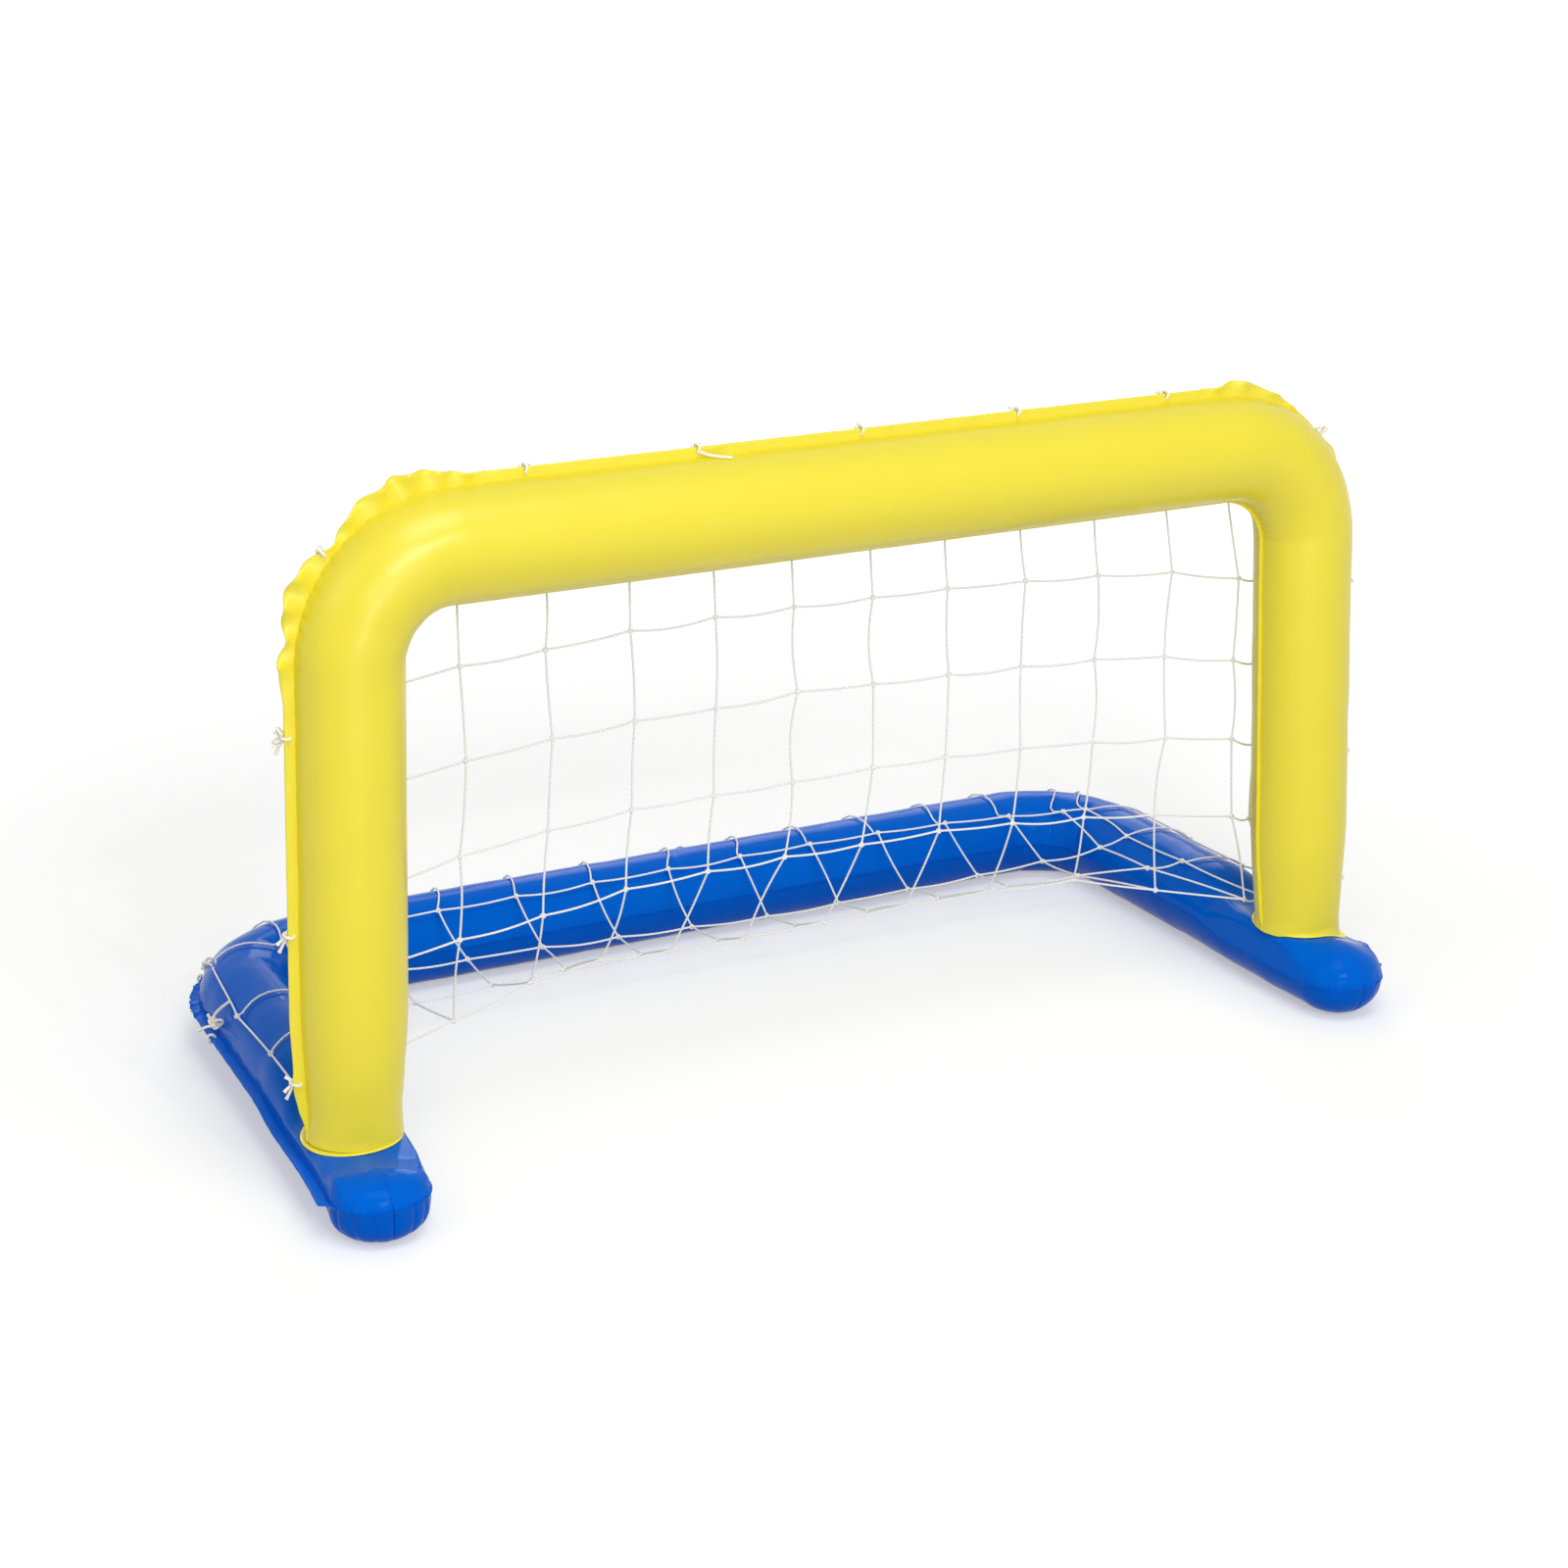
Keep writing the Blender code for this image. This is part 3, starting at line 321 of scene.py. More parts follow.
def half_base(tip_end):
    """The right half of the base, from the tip's nose to the middle of the rear tube. In front of
    the arch the leg swings outward by the square of its way to tip_end."""
    toe = math.atan(toe_share)
    leg_out = np.array((math.cos(toe), math.sin(toe), 0.0))
    leg_fore = np.array((math.sin(toe), -math.cos(toe), 0.0))
    fan = np.linspace(np.pi / 2, 0, 72)[:-1, None]
    tip_centre = tip_end + base_radius
    bend_y = rear_y - base_bend
    bend_x = leg_x - toe_share * (bend_y - arch_y) - base_bend / math.cos(toe)
    centre = np.array((bend_x, bend_y, base_mid))
    start_y = centre[1] + base_bend * math.sin(toe)
    fine = np.arange(0, 0.036, 0.0015)
    run = np.concatenate((tip_centre + fine, np.linspace(tip_centre + 0.036, start_y, 62)[:-1]))
    splay = leg_splay * np.clip((arch_y - run) / (arch_y - tip_end), 0, 1) ** 2
    leg = np.stack((leg_x - toe_share * (run - arch_y) + splay, run, run * 0 + base_mid), -1)
    turn = np.linspace(toe, np.pi / 2, 120)[:-1, None]
    round_out = np.concatenate((np.cos(turn), np.sin(turn), turn * 0), 1)
    rear_x = bend_x * np.linspace(1, 0, 66)[:, None] ** 1.5     # closer together near the valve
    rear = np.concatenate((rear_x, rear_x * 0 + rear_y, rear_x * 0 + base_mid), 1)
    middle = np.concatenate((np.tile(leg[0], (len(fan), 1)), leg, centre + round_out * base_bend, rear))
    back = np.tile((0.0, 1.0, 0.0), (len(rear), 1))
    straight = np.tile(leg_out, (len(leg), 1))
    out = np.concatenate((leg_out * np.cos(fan) + leg_fore * np.sin(fan), straight, round_out, back))
    inn = np.concatenate((leg_fore * np.sin(fan) - leg_out * np.cos(fan), -straight, -round_out, -back))
    share = np.concatenate((np.full(len(fan), leg_share(tip_centre)), leg_share(run),
                            np.ones(len(turn) + len(rear))))
    around = np.concatenate((fan[:, 0], np.zeros(len(middle) - len(fan))))
    nose = travel(middle + out * base_radius)
    in_travel = travel(middle + inn * base_radius)
    tip = np.where(around > 0, 1.0, np.exp(-np.maximum(nose - nose[len(fan)], 0) / 0.012))
    turn_from, turn_to = nose[len(fan) + len(leg)], nose[-len(rear)]
    bend = ease(nose, turn_from - 0.045, turn_from + 0.02) * (1 - ease(nose, turn_to - 0.02, turn_to + 0.045))
    edge_out = tip_flange + (flange - tip_flange) * (1 - ease(around, 0.06, 0.22))
    edge_in = base_inner_flange + (tip_flange - base_inner_flange) * ease(around, 0.5, np.pi / 2)
    return middle, out, inn, share, nose, in_travel, tip, bend, edge_out, edge_in


mirror = np.array((-1.0, 1.0, 1.0))
signs = (mirror, mirror, mirror, 1, -1, -1, 1, 1, 1, 1)
(base_line, base_out, base_in, base_share, base_s, base_t, base_tip, base_turn, edge_out,
 edge_in) = both_halves(half_base(tip_ends[0]), half_base(tip_ends[1]), signs)
uneven = 0.6 + 0.4 * waver(base_s, 0.043, 6.0)
ruffle_out = 0.0007 * waver(base_s, 0.041, 1.0) + base_turn * 0.0042 * waver(base_s, 0.026, 2.0)
ruffle_out = ruffle_out * (1 - base_tip)
ruffle_in = (1 - base_tip) * 0.0004 * waver(base_t, 0.033, 4.0)
edge_out = edge_out * (1 - 0.42 * base_turn * uneven * pleat(base_s, 0.0145, 2.0))
base_radii = np.full(len(base_line), base_radius)
up = np.array((0.0, 0.0, 1.0))
base_path = (base_line, base_out, base_in, up, base_radii, edge_out, edge_in, (ruffle_out, ruffle_in))


def base_swell(side, seed):
    """How far the base's film stands off the plain tube: short puckers above the weld round the
    tips and a few soft folds below it, creases that run from the weld up the outer bends, broad
    folds inside the bends, and a slight unevenness everywhere."""
    angle = np.linspace(0, 180, arc_columns)[None, :]
    outer = angle < 90
    off_weld = np.minimum(angle, 180 - angle)
    s = np.where(outer, base_s[:, None], -base_t[:, None])
    if side > 0:
        tip_fade = np.clip(1 - off_weld / (24 + 8 * waver(s, 0.05, seed)), 0, 1)
        tip_deep = 0.0011 * pleat(s, 0.0095, 5.0) + 0.0012 * pleat(s, 0.023, 4.0)
        tip_deep = base_tip[:, None] * tip_fade * tip_deep
    else:
        tip_fade = np.clip(1 - off_weld / (60 + 14 * waver(s, 0.07, seed)), 0, 1)
        tip_fade = tip_fade * np.where(base_line[:, :1] < 0, 1.0, 0.25)
        tip_deep = 0.0030 * base_tip[:, None] * tip_fade * pleat(s, 0.023, 4.0) ** 1.3
    bend_fade = np.clip(1 - off_weld / (34 + 14 * waver(s, 0.05, seed + 1)), 0, 1)
    bend_deep = 0.0034 * (base_turn * uneven)[:, None] * bend_fade * pleat(s, 0.0145, 2.0) * outer
    inside = ~outer * base_turn[:, None] * np.sin(np.radians(angle)) ** 0.5 * ease(angle, 92, 130)
    fold = 0.0036 * inside * pleat(base_t[:, None] + 0.00012 * angle, 0.031, seed) ** 1.6
    near_weld = np.clip(1 - off_weld / 16, 0, 1) * (1 - base_tip[:, None])
    small = near_weld * pleat(s, 0.011, seed + 3) + waver(s + 0.02 * np.radians(angle), 0.13, seed)
    return -(tip_deep + bend_deep + fold + 0.0005 * small)


def base_panel(side, seed):
    """The grid of the base's top (1) or bottom (-1) panel. Beside the legs' outer weld the film
    sinks into a valley, the tips are fuller below, as a superellipse is, and the whole is pressed
    flat where it lies on the floor and where a post stands on it."""
    grid, v, weld = panel_grid(base_path, side, base_swell(side, seed))
    arc = slice(flange_columns - 1, flange_columns - 1 + arc_columns)
    angle = np.linspace(0, 180, arc_columns)[None, :]
    left = base_line[:, :1] < 0
    power = 2 + (side < 0) * np.where(left, 1.1, 0.2) * base_tip[:, None]
    across = np.clip(np.abs(np.cos(np.radians(angle))), 0, 0.9999)
    fuller = (1 - across ** power) ** (1 / power) / np.sqrt(1 - across ** 2)
    valley = (0.42 * (1 - base_turn) * (np.abs(base_line[:, 0]) > 0.5) * (1 - 0.6 * base_tip))[:, None]
    valley = 1 - valley * (side > 0) * (1 - ease(angle, 3, 34))
    grid[:, arc, 2] = base_mid + (grid[:, arc, 2] - base_mid) * fuller * valley
    grid[..., 2] = np.maximum(grid[..., 2] * base_share[:, None], 0.0002)
    if side > 0:
        x, y = grid[:, arc, 0], grid[:, arc, 1]
        off_weld = np.minimum(angle, 180 - angle)
        grid[:, arc, 2] += (leg_crown(x, y) - leg_crown(x, y, False)) * ease(off_weld, 1, 15)
    return grid, v, weld


vinyl_ior = 1.53


def vinyl(name, body, tone_and_weld_highlight, roughness, gloss, tint="FFFFFF"):
    """Calendered PVC film, about 0.5 mm thick: an even colour, a hair paler on the double welded
    flanges as a painted highlight for the light the flaps catch, a faint leather-fine grain, slow
    ripples, and a ribbed weld on the flanges. Its highlights take the tint."""
    made, tree, shader = shaded(name)
    place = add(tree, "ShaderNodeTexCoord").outputs
    weld = add(tree, "ShaderNodeAttribute", attribute_name="weld").outputs["Fac"]
    # tone: clouds 140 mm wide; grain: 0.8 mm cells; ripples: 40 mm long; puckers: 7 mm apart, drawn
    # out across the weld; ribs: 3 mm apart, on the weld
    puckered = add(tree, "ShaderNodeMapping", {"Vector": place["UV"], "Scale": (140.0, 16.0, 1.0)})
    cloud, grain, ripple, pucker = (
        add(tree, "ShaderNodeTexNoise", {"Vector": vector, "Scale": scale, "Detail": detail}).outputs[0]
        for vector, scale, detail in ((place["Object"], 7.0, 3.0), (place["Object"], 1250.0, 2.0),
                                      (place["Object"], 25.0, 2.0), (puckered.outputs[0], 1.0, 2.0)))
    ribs = add(tree, "ShaderNodeTexWave", {"Vector": place["UV"], "Scale": 105.0}, wave_type="BANDS")
    rib_height = add(tree, "ShaderNodeMath", {0: ribs.outputs["Fac"], 1: weld}, operation="MULTIPLY")
    tone = add(tree, "ShaderNodeMapRange", {0: cloud, 1: 0.3, 2: 0.7, 3: 0.0, 4: 0.22})
    # the welded flanges take the paler colour, a painted highlight for the light the flaps catch; the clouds
    # add a paler tone at random
    tone_and_weld_highlight_share = add(tree, "ShaderNodeMath", {0: weld, 1: tone.outputs[0]}, operation="MAXIMUM")
    colour = add(tree, "ShaderNodeMix", {0: tone_and_weld_highlight_share.outputs[0], 6: linear(body), 7: linear(tone_and_weld_highlight)},
                 data_type="RGBA")
    rough = add(tree, "ShaderNodeMapRange",
                {0: ripple, 1: 0.3, 2: 0.7, 3: roughness - 0.04, 4: roughness + 0.05})
    normal = {}
    for strength, height, pattern in ((0.5, 0.00002, grain), (0.35, 0.0008, ripple), (0.25, 0.0005, pucker),
                                      (0.5, 0.00015, rib_height.outputs[0])):
        bump = add(tree, "ShaderNodeBump",
                   {"Strength": strength, "Distance": height, "Height": pattern, **normal})
        normal = {"Normal": bump.outputs[0]}
    fill(shader, {"Base Color": colour.outputs[2], "Roughness": rough.outputs[0], "IOR": vinyl_ior,
                  "Specular IOR Level": gloss, "Specular Tint": linear(tint), **normal})
    return made


blue_film = vinyl("blue welded PVC film", "0062D2", "0066D6", 0.11, 0.05, "A8D4FF")
# the bottom sheet is painted a darker blue than the top one: painted shade for the underside, which the lamps
# light less
shaded_under_film = vinyl("blue welded PVC film, underside in painted shade", "005AC8", "005ECC", 0.15, 0.05, "A8D4FF")


def goal_piece(piece, slot, *nodes):
    """Fixes a piece to the goal's body, in the place of its nodes. Its slot is not used."""
    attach(piece, "goal")
    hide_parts(*nodes)


# the valve's place on the middle of the rear tube, and its way out
valve_tilt = math.radians(30)
tilted = np.array((0.0, math.cos(valve_tilt), math.sin(valve_tilt)))
base_valve = (np.array((0.038, rear_y, base_mid)), tilted)
for name, side, seed, paint, hole, slot in (
        ("base_top", 1, 1.0, blue_film, base_valve, "base vinyl"),
        ("base_bottom", -1, 4.0, shaded_under_film, None, "base vinyl underside")):
    grid, v, weld = base_panel(side, seed)
    goal_piece(shell(name, grid, base_line, base_s, v, weld, paint, film, hole), slot, name + "_panel")

# Arch: two yellow vinyl sheets welded flat, so that their outer edge has too much length for the
# corners and stands there in wide ruffles. The posts lean in, narrow to their feet and stand on
# the legs; the outer flange has a small tab above each foot.
post_radius = 0.0592
bar_radius = 0.0623
foot_radius = 0.0535
head_x = 0.600
bar_z = 0.717
arch_bend = 0.120
foot_end = 0.045
foot_top = 0.105
taper_top = 0.220
lean = math.atan((leg_x - head_x) / bar_z)
post_slope = (leg_x - head_x) / bar_z
corner_x = head_x - arch_bend * math.tan((np.pi / 2 - lean) / 2)
corner_z = bar_z - arch_bend
# flange width in mm round each corner, by degrees above level
left_flap = ((-4, 12), (0, 15), (4, 21), (8, 14), (11, 9), (16, 16), (24, 24), (30, 24), (37, 19), (42, 12),
             (46, 5), (50, 11), (57, 19), (62, 22), (67, 22), (73, 26), (79, 24), (84, 21), (88, 17),
             (94, 14), (98, 12))
right_flap = ((-4, 12), (2, 10), (8, 8), (14, 6), (20, 5), (27, 4), (31, 8), (34, 11), (37, 6), (42, 4),
              (50, 4), (56, 5), (63, 8), (67, 12), (71, 11), (77, 14), (83, 19), (89, 17), (94, 13), (98, 12))


def post_width(z):
    """Radius of a post at height z: its foot's below the taper, its own above."""
    return foot_radius + (post_radius - foot_radius) * ease(z, foot_top, taper_top)


def half_arch(flap):
    """The right half of the arch, from the foot up the post, round the corner, to mid-bar."""
    start = np.array((corner_x + arch_bend * math.cos(lean), 0.0, corner_z + arch_bend * math.sin(lean)))
    low = np.linspace(foot_end, foot_top, 42)[:-1]
    tab = np.arange(foot_top, 0.15, 0.002)
    z = np.concatenate((low, tab, np.linspace(0.15, start[2], 58)[:-1]))
    post = np.stack((leg_x - post_slope * z, z * 0 + arch_y, z), -1)
    turn = np.linspace(lean, np.pi / 2, 150)[:-1]
    round_out = np.stack((np.cos(turn), turn * 0, np.sin(turn)), -1)
    bend = np.array((corner_x, arch_y, corner_z)) + round_out * arch_bend
    inner_bar = (corner_x - 0.05) * np.linspace(1, 0, 56) ** 1.5     # closer together near the valve
    bar_x = np.concatenate((corner_x - np.arange(0, 0.05, 0.002), inner_bar))
    bar = np.stack((bar_x, bar_x * 0 + arch_y, bar_x * 0 + bar_z), -1)
    middle = np.concatenate((post, bend, bar))
    side = np.tile((math.cos(lean), 0.0, math.sin(lean)), (len(post), 1))
    out = np.concatenate((side, round_out, np.tile((0.0, 0.0, 1.0), (len(bar), 1))))
    t = np.concatenate((z * 0, (turn - lean) / (np.pi / 2 - lean), bar_x * 0 + 1))
    radius = post_radius + (bar_radius - post_radius) * t
    radius[:len(z)] = post_width(z)
    s = travel(middle + out * post_radius)
    # past the corner's ends, the angle runs on at the corner's own rate
    edge_bend = arch_bend + post_radius
    angles = (lean - (start[2] - z) / edge_bend, turn, np.pi / 2 + (corner_x - bar_x) / edge_bend)
    degrees = np.degrees(np.concatenate(angles))
    ways, widths = np.array(flap).T
    width = np.interp(degrees, ways, widths * 0.001)
    soft = np.ones(7) / 7
    width = np.convolve(np.pad(width, 3, mode="edge"), soft, mode="valid")
    tab = 1 + 0.15 * ease(z, 0.11, 0.13) * (1 - ease(z, 0.14, 0.156))
    width[:len(z)] *= (0.06 + 0.94 * ease(z, 0.052, 0.125)) * tab
    # the post is a little wider where it stands, and drawn in by a seam above
    seam = ease(z, 0.05, 0.09) * (1 - ease(z, 0.1, 0.14))
    radius[:len(z)] += 0.0008 * (1 - ease(z, foot_end, foot_end + 0.02)) - 0.0008 * seam
    ruffled = ease(degrees, -16, 6) * (1 - ease(degrees, 92, 112))
    return middle, out, radius, s, width, ruffled


halves = both_halves(half_arch(left_flap), half_arch(right_flap), (mirror, mirror, 1, -1, 1, 1))
arch_line, arch_out, arch_radii, arch_s, arch_flange, arch_ruffled = halves
wave_pitch = 0.034
flap_wave = 0.22 * arch_flange * np.sin(2 * np.pi * arch_s / wave_pitch + 1.5 * waver(arch_s, 0.19, 1.3))
ruffles = (0.0006 * waver(arch_s, 0.055, 2.0) + arch_ruffled * flap_wave, 0.0004 * waver(arch_s, 0.04, 5.0))
rearward = np.array((0.0, 1.0, 0.0))
arch_in_edge = inner_flange * (0.15 + 0.85 * ease(arch_line[:, 2], 0.06, 0.12))
arch_path = (arch_line, arch_out, -arch_out, rearward, arch_radii, arch_flange, arch_in_edge, ruffles)


def arch_swell(seed):
    """How far the arch's film stands off the plain tube: creases at the weld where the flange
    ruffles, smaller ones inside the corners, and a slight unevenness everywhere."""
    angle = np.linspace(0, 180, arc_columns)[None, :]
    off_weld = np.minimum(angle, 180 - angle)
    outer = angle < 90
    s = arch_s[:, None]
    fade = np.clip(1 - off_weld / (24 + 10 * waver(s, 0.05, seed)), 0, 1)
    deep = 0.0014 * arch_ruffled[:, None] * fade * pleat(s, 0.017, 1.3) * outer
    inside = arch_ruffled[:, None] * np.clip(1 - (180 - angle) / 26, 0, 1) * (angle > 90)
    deep = deep + 0.0012 * inside * pleat(s * 0.4, 0.009, seed)
    near_weld = np.clip(1 - off_weld / 12, 0, 1)
    small = 0.0005 * waver(s + 0.02 * np.radians(angle), 0.16, seed)
    return -(deep + 0.0004 * near_weld * pleat(s, 0.012, seed + 3) + small)


def foot_rest(x, y):
    """Height of a post's lower end: the leg's own, held where the leg's flank would fall away."""
    reach = 0.93 * foot_radius
    return leg_crown(np.sign(x) * np.clip(np.abs(x), leg_x - reach, leg_x + reach), y)


def arch_panel(side, seed):
    """The grid of the arch's front (-1) or rear (1) panel, its feet drawn down to the legs."""
    grid, v, weld = panel_grid(arch_path, side, arch_swell(seed))
    x, y, z = np.moveaxis(grid, -1, 0)
    rest = foot_rest(x, y) + 0.0008
    share = np.clip((z - foot_end) / (foot_top - foot_end), 0, 1)
    drawn = np.where(z < foot_top, rest + share * (foot_top - rest), z)
    grid[..., 0] = x - np.sign(x) * post_slope * (drawn - z)
    grid[..., 2] = drawn
    return grid, v, weld


yellow_film = vinyl("yellow welded PVC film", "EADA32", "EEDF36", 0.33, 0.5)
# the rear sheet is painted a darker yellow than the front one: painted shade for the side away from the lamps
shaded_rear_film = vinyl("yellow welded PVC film, rear in painted shade", "E6D62E", "EEDF36", 0.33, 0.5)
arch_valve = (np.array((-0.002, arch_y, bar_z)), rearward)
for name, side, seed, paint, hole, slot in (
        ("arch_front", -1, 2.0, yellow_film, None, "arch vinyl"),
        ("arch_rear", 1, 6.0, shaded_rear_film, arch_valve, "arch vinyl rear")):
    grid, v, weld = arch_panel(side, seed)
    goal_piece(shell(name, grid, arch_line, arch_s, v, weld, paint, film, hole), slot, name + "_panel")

# Foot patches: a yellow vinyl disc closes each post's lower end and lies on the leg like a
# saddle. Its hem shows round the post as a bright rim, rolled up a little at its edge and painted
# paler than the arch as a painted highlight.
hem = 0.006
patch_rings, hem_rings, patch_spokes = 26, 9, 120


def foot_patch(word, side):
    """A disc laid on the leg: rings go out from the post's axis, in distance along the leg and
    distance round it, to the foot's outline and the hem beyond it."""
    way = np.linspace(0, 2 * np.pi, patch_spokes + 1)[None, :]
    foot_u = base_radius * np.arcsin(foot_radius * np.cos(way) / base_radius)
    foot_v = foot_radius * np.sin(way)
    length = np.hypot(foot_u, foot_v)
    inside, beyond = np.linspace(0, 1, patch_rings - hem_rings), np.linspace(0, 1, hem_rings + 1)
    grow = np.concatenate((inside[:-1], 1 + beyond * hem / foot_radius))[:, None]
    grow = np.where(grow > 1, 1 + (grow - 1) * foot_radius / length, grow)
    u, y = foot_u * grow, foot_v * grow + arch_y
    beyond = np.clip((grow - 1) * length / hem, 0, 1)
    lift = 0.0009 + 0.0011 * np.sin(np.pi * np.clip(beyond * 1.25 - 0.25, 0, 1)) * (beyond > 0)
    level_x = side * (leg_x - toe_share * (y - arch_y) + base_radius * np.sin(u / base_radius))
    z = foot_rest(level_x, y) + lift * np.cos(u / base_radius)
    grid = np.stack((level_x + side * lift * np.sin(u / base_radius), y, z), -1)
    middle = np.tile((side * leg_x, arch_y, 0.0), (grid.shape[0], 1))
    # the whole patch is marked as weld, so it takes mostly the paler colour, a painted highlight, and the
    # weld's ribs
    weld = np.full(patch_spokes + 1, 0.7)
    u, v = grow[:, 0] * foot_radius, way[0] * foot_radius
    made = shell(word + "_patch", grid, middle, u, v, weld, lit_patch_film)
    goal_piece(made, "foot patch vinyl", word + "_foot_patch")


lit_patch_film = vinyl("yellow PVC film of the foot patches", "F2E63E", "FAEE46", 0.3, 0.5)
foot_patch("left", -1)
foot_patch("right", 1)

# Net: white twine, twisted and knotted by hand into meshes of about 100 mm. It is laced to the
# arch's outer flange, hangs behind the bar, sags over the base's bay and runs over the rear tube.
net_columns, net_rows = 14, 10
mesh_size = 0.100
net_shift = 0.048
twine_radius = 0.00125
net_clear = 0.0035           # the twine's middle keeps this off the inflated film
side_rows = (0.640, 0.518, 0.410, 0.297, 0.213, 0.126)
# each row's distance behind the arch, then its knots from left to right in mm: across and up
row_behind = (0.0665, 0.0665, 0.0665, 0.0665, 0.076, 0.139, 0.259, 0.384, 0.498)
row_knots = (
    ((-586, 660), (-458, 668), (-358, 672), (-255, 674), (-154, 675), (-55, 675), (46, 675), (144, 675),
     (246, 674), (346, 672), (445, 668), (535, 660), (586, 655)),
    ((-586, 545), (-458, 562), (-357, 567), (-255, 575), (-150, 577), (-51, 576), (51, 574), (150, 572),
     (256, 568), (357, 562), (463, 553), (561, 533), (590, 528)),
    ((-586, 437), (-455, 453), (-352, 463), (-252, 469), (-151, 469), (-47, 474), (52, 469), (153, 466),
     (252, 463), (355, 457), (456, 447), (558, 428), (592, 420)),
    ((-588, 320), (-467, 343), (-361, 356), (-258, 364), (-155, 365), (-54, 365), (52, 366), (150, 364),
     (254, 359), (356, 352), (462, 341), (561, 325), (596, 312)),
    ((-590, 224), (-468, 240), (-367, 251), (-264, 265), (-160, 269), (-60, 270), (42, 268), (147, 268),
     (250, 261), (352, 252), (456, 238), (573, 217), (600, 210)),
    ((-590, 126), (-469, 130), (-365, 150), (-273, 158), (-182, 151), (-82, 149), (24, 150), (136, 152),
     (252, 152), (371, 149), (479, 124), (585, 108), (612, 118)),
    ((-575, 108), (-470, 102), (-367, 100), (-270, 100), (-167, 100), (-63, 100), (44, 100), (148, 100),
     (250, 101), (350, 101), (450, 102), (545, 103), (590, 110)),
    ((-565, 104), (-456, 94), (-351, 84), (-249, 80), (-145, 74), (-42, 69), (66, 64), (170, 64), (273, 66),
     (376, 70), (470, 78), (550, 90), (585, 104)),
    ((-552, 110), (-450, 107), (-345, 107), (-238, 107), (-131, 107), (-23, 107), (82, 107), (186, 107),
     (288, 107), (388, 107), (480, 107), (555, 108), (585, 110)),
)
# where rows 7 to 9 end on the legs: across, behind the arch and up, left then right
leg_ends = (((-0.665, 0.178, 0.100), (0.664, 0.176, 0.1005)),
            ((-0.668, 0.299, 0.100), (0.667, 0.304, 0.096)),
            ((-0.645, 0.462, 0.094), (0.658, 0.401, 0.101)))


border_inset = 0.0071        # from the flange's edge to the net's border
border_off = 0.0025          # and from the flange's face


def arch_border(x, z):
    """The net's border behind the arch's flange: on the post beside z, or on the bar over x."""
    side = np.sign(x)
    if z > corner_z + arch_bend * math.sin(lean):
        reach = arch_bend + bar_radius + flange - border_inset
        if abs(x) <= corner_x:
            return x, border_off, corner_z + reach
        turn = math.atan2(z - corner_z, abs(x) - corner_x)
        reach = reach - 0.002
        return side * (corner_x + reach * math.cos(turn)), border_off, corner_z + reach * math.sin(turn)
    reach = (post_width(z) + flange - border_inset) * math.cos(lean)
    return side * (leg_x - post_slope * z + reach), border_off, z


def rear_border(x):
    """The net's border on the base's rear flange, round its corners."""
    reach = base_radius + border_inset
    bend_y = base_deep - base_bend
    bend_x = leg_x - toe_share * bend_y - base_bend
    if abs(x) <= bend_x:
        return x, base_deep + reach, base_mid + border_off
    turn = math.acos(min((abs(x) - bend_x) / (base_bend + reach), 0.79))
    return (math.copysign(bend_x + (base_bend + reach) * math.cos(turn), x),
            bend_y + (base_bend + reach) * math.sin(turn), base_mid + border_off)


def net_knots():
    """All knots of the net, rows by columns, from the borders and the hung rows between them."""
    places = np.zeros((net_rows + 1, net_columns + 1, 3))
    for j in range(net_columns + 1):
        side = -1 if j < net_columns / 2 else 1
        end = j in (0, net_columns)
        x = net_shift + mesh_size * (j - net_columns / 2)
        x = side * 0.586 if j in (1, net_columns - 1) else x
        places[0, j] = arch_border(side * 0.62, 0.70) if end else arch_border(x, 0.80)
        for k in range(1, net_rows):
            if end:
                places[k, j] = arch_border(side, side_rows[k - 1]) if k <= 6 else leg_ends[k - 7][side > 0]
            else:
                across, high = row_knots[k - 1][j - 1]
                places[k, j] = across / 1000, row_behind[k - 1], high / 1000
        places[net_rows, j] = rear_border(side * 0.63 if end else x + 0.04 * (1 - abs(x) / leg_x))
    for k in (6, 7, 8, 9):
        # the low rows come forward to their ends on the posts and the legs
        t = (np.abs(places[k, 1:-1, 0]) / 0.665) ** 4
        end_y = np.where(places[k, 1:-1, 0] < 0, places[k, 0, 1], places[k, -1, 1])
        places[k, 1:-1, 1] += (end_y - places[k, 1:-1, 1]) * t
    places[..., 1] += arch_y
    return places


def tube_walls(line, radii):
    """An inflated tube as short straight pieces: both ends of the axis, and the radius."""
    pieces = zip(line[:-6:6], line[6::6], radii[::6])
    return [piece for piece in pieces if np.linalg.norm(piece[1] - piece[0]) > film]


def outside(points):
    """Moves points that would lie in a tube straight out from its axis to just off the film.
    The base is met at its own height share, so its points are stretched and put back."""
    spots = points.reshape(-1, 3).copy()
    for line, radii, squashed in ((arch_line, arch_radii, False), (base_line, base_radii, True)):
        share = leg_share(spots[:, 1]) if squashed else np.ones(len(spots))
        spots[:, 2] /= share
        for start, end, radius in tube_walls(line, radii):
            along = end - start
            t = np.clip((spots - start) @ along / (along @ along), 0, 1)
            away = spots - start - t[:, None] * along
            far = np.linalg.norm(away, axis=1)
            short = radius + net_clear - far
            inside = (short > 0) & (far > film)
            spots[inside] += (away / np.maximum(far, film)[:, None] * short[:, None])[inside]
        spots[:, 2] *= share
    return spots.reshape(points.shape)


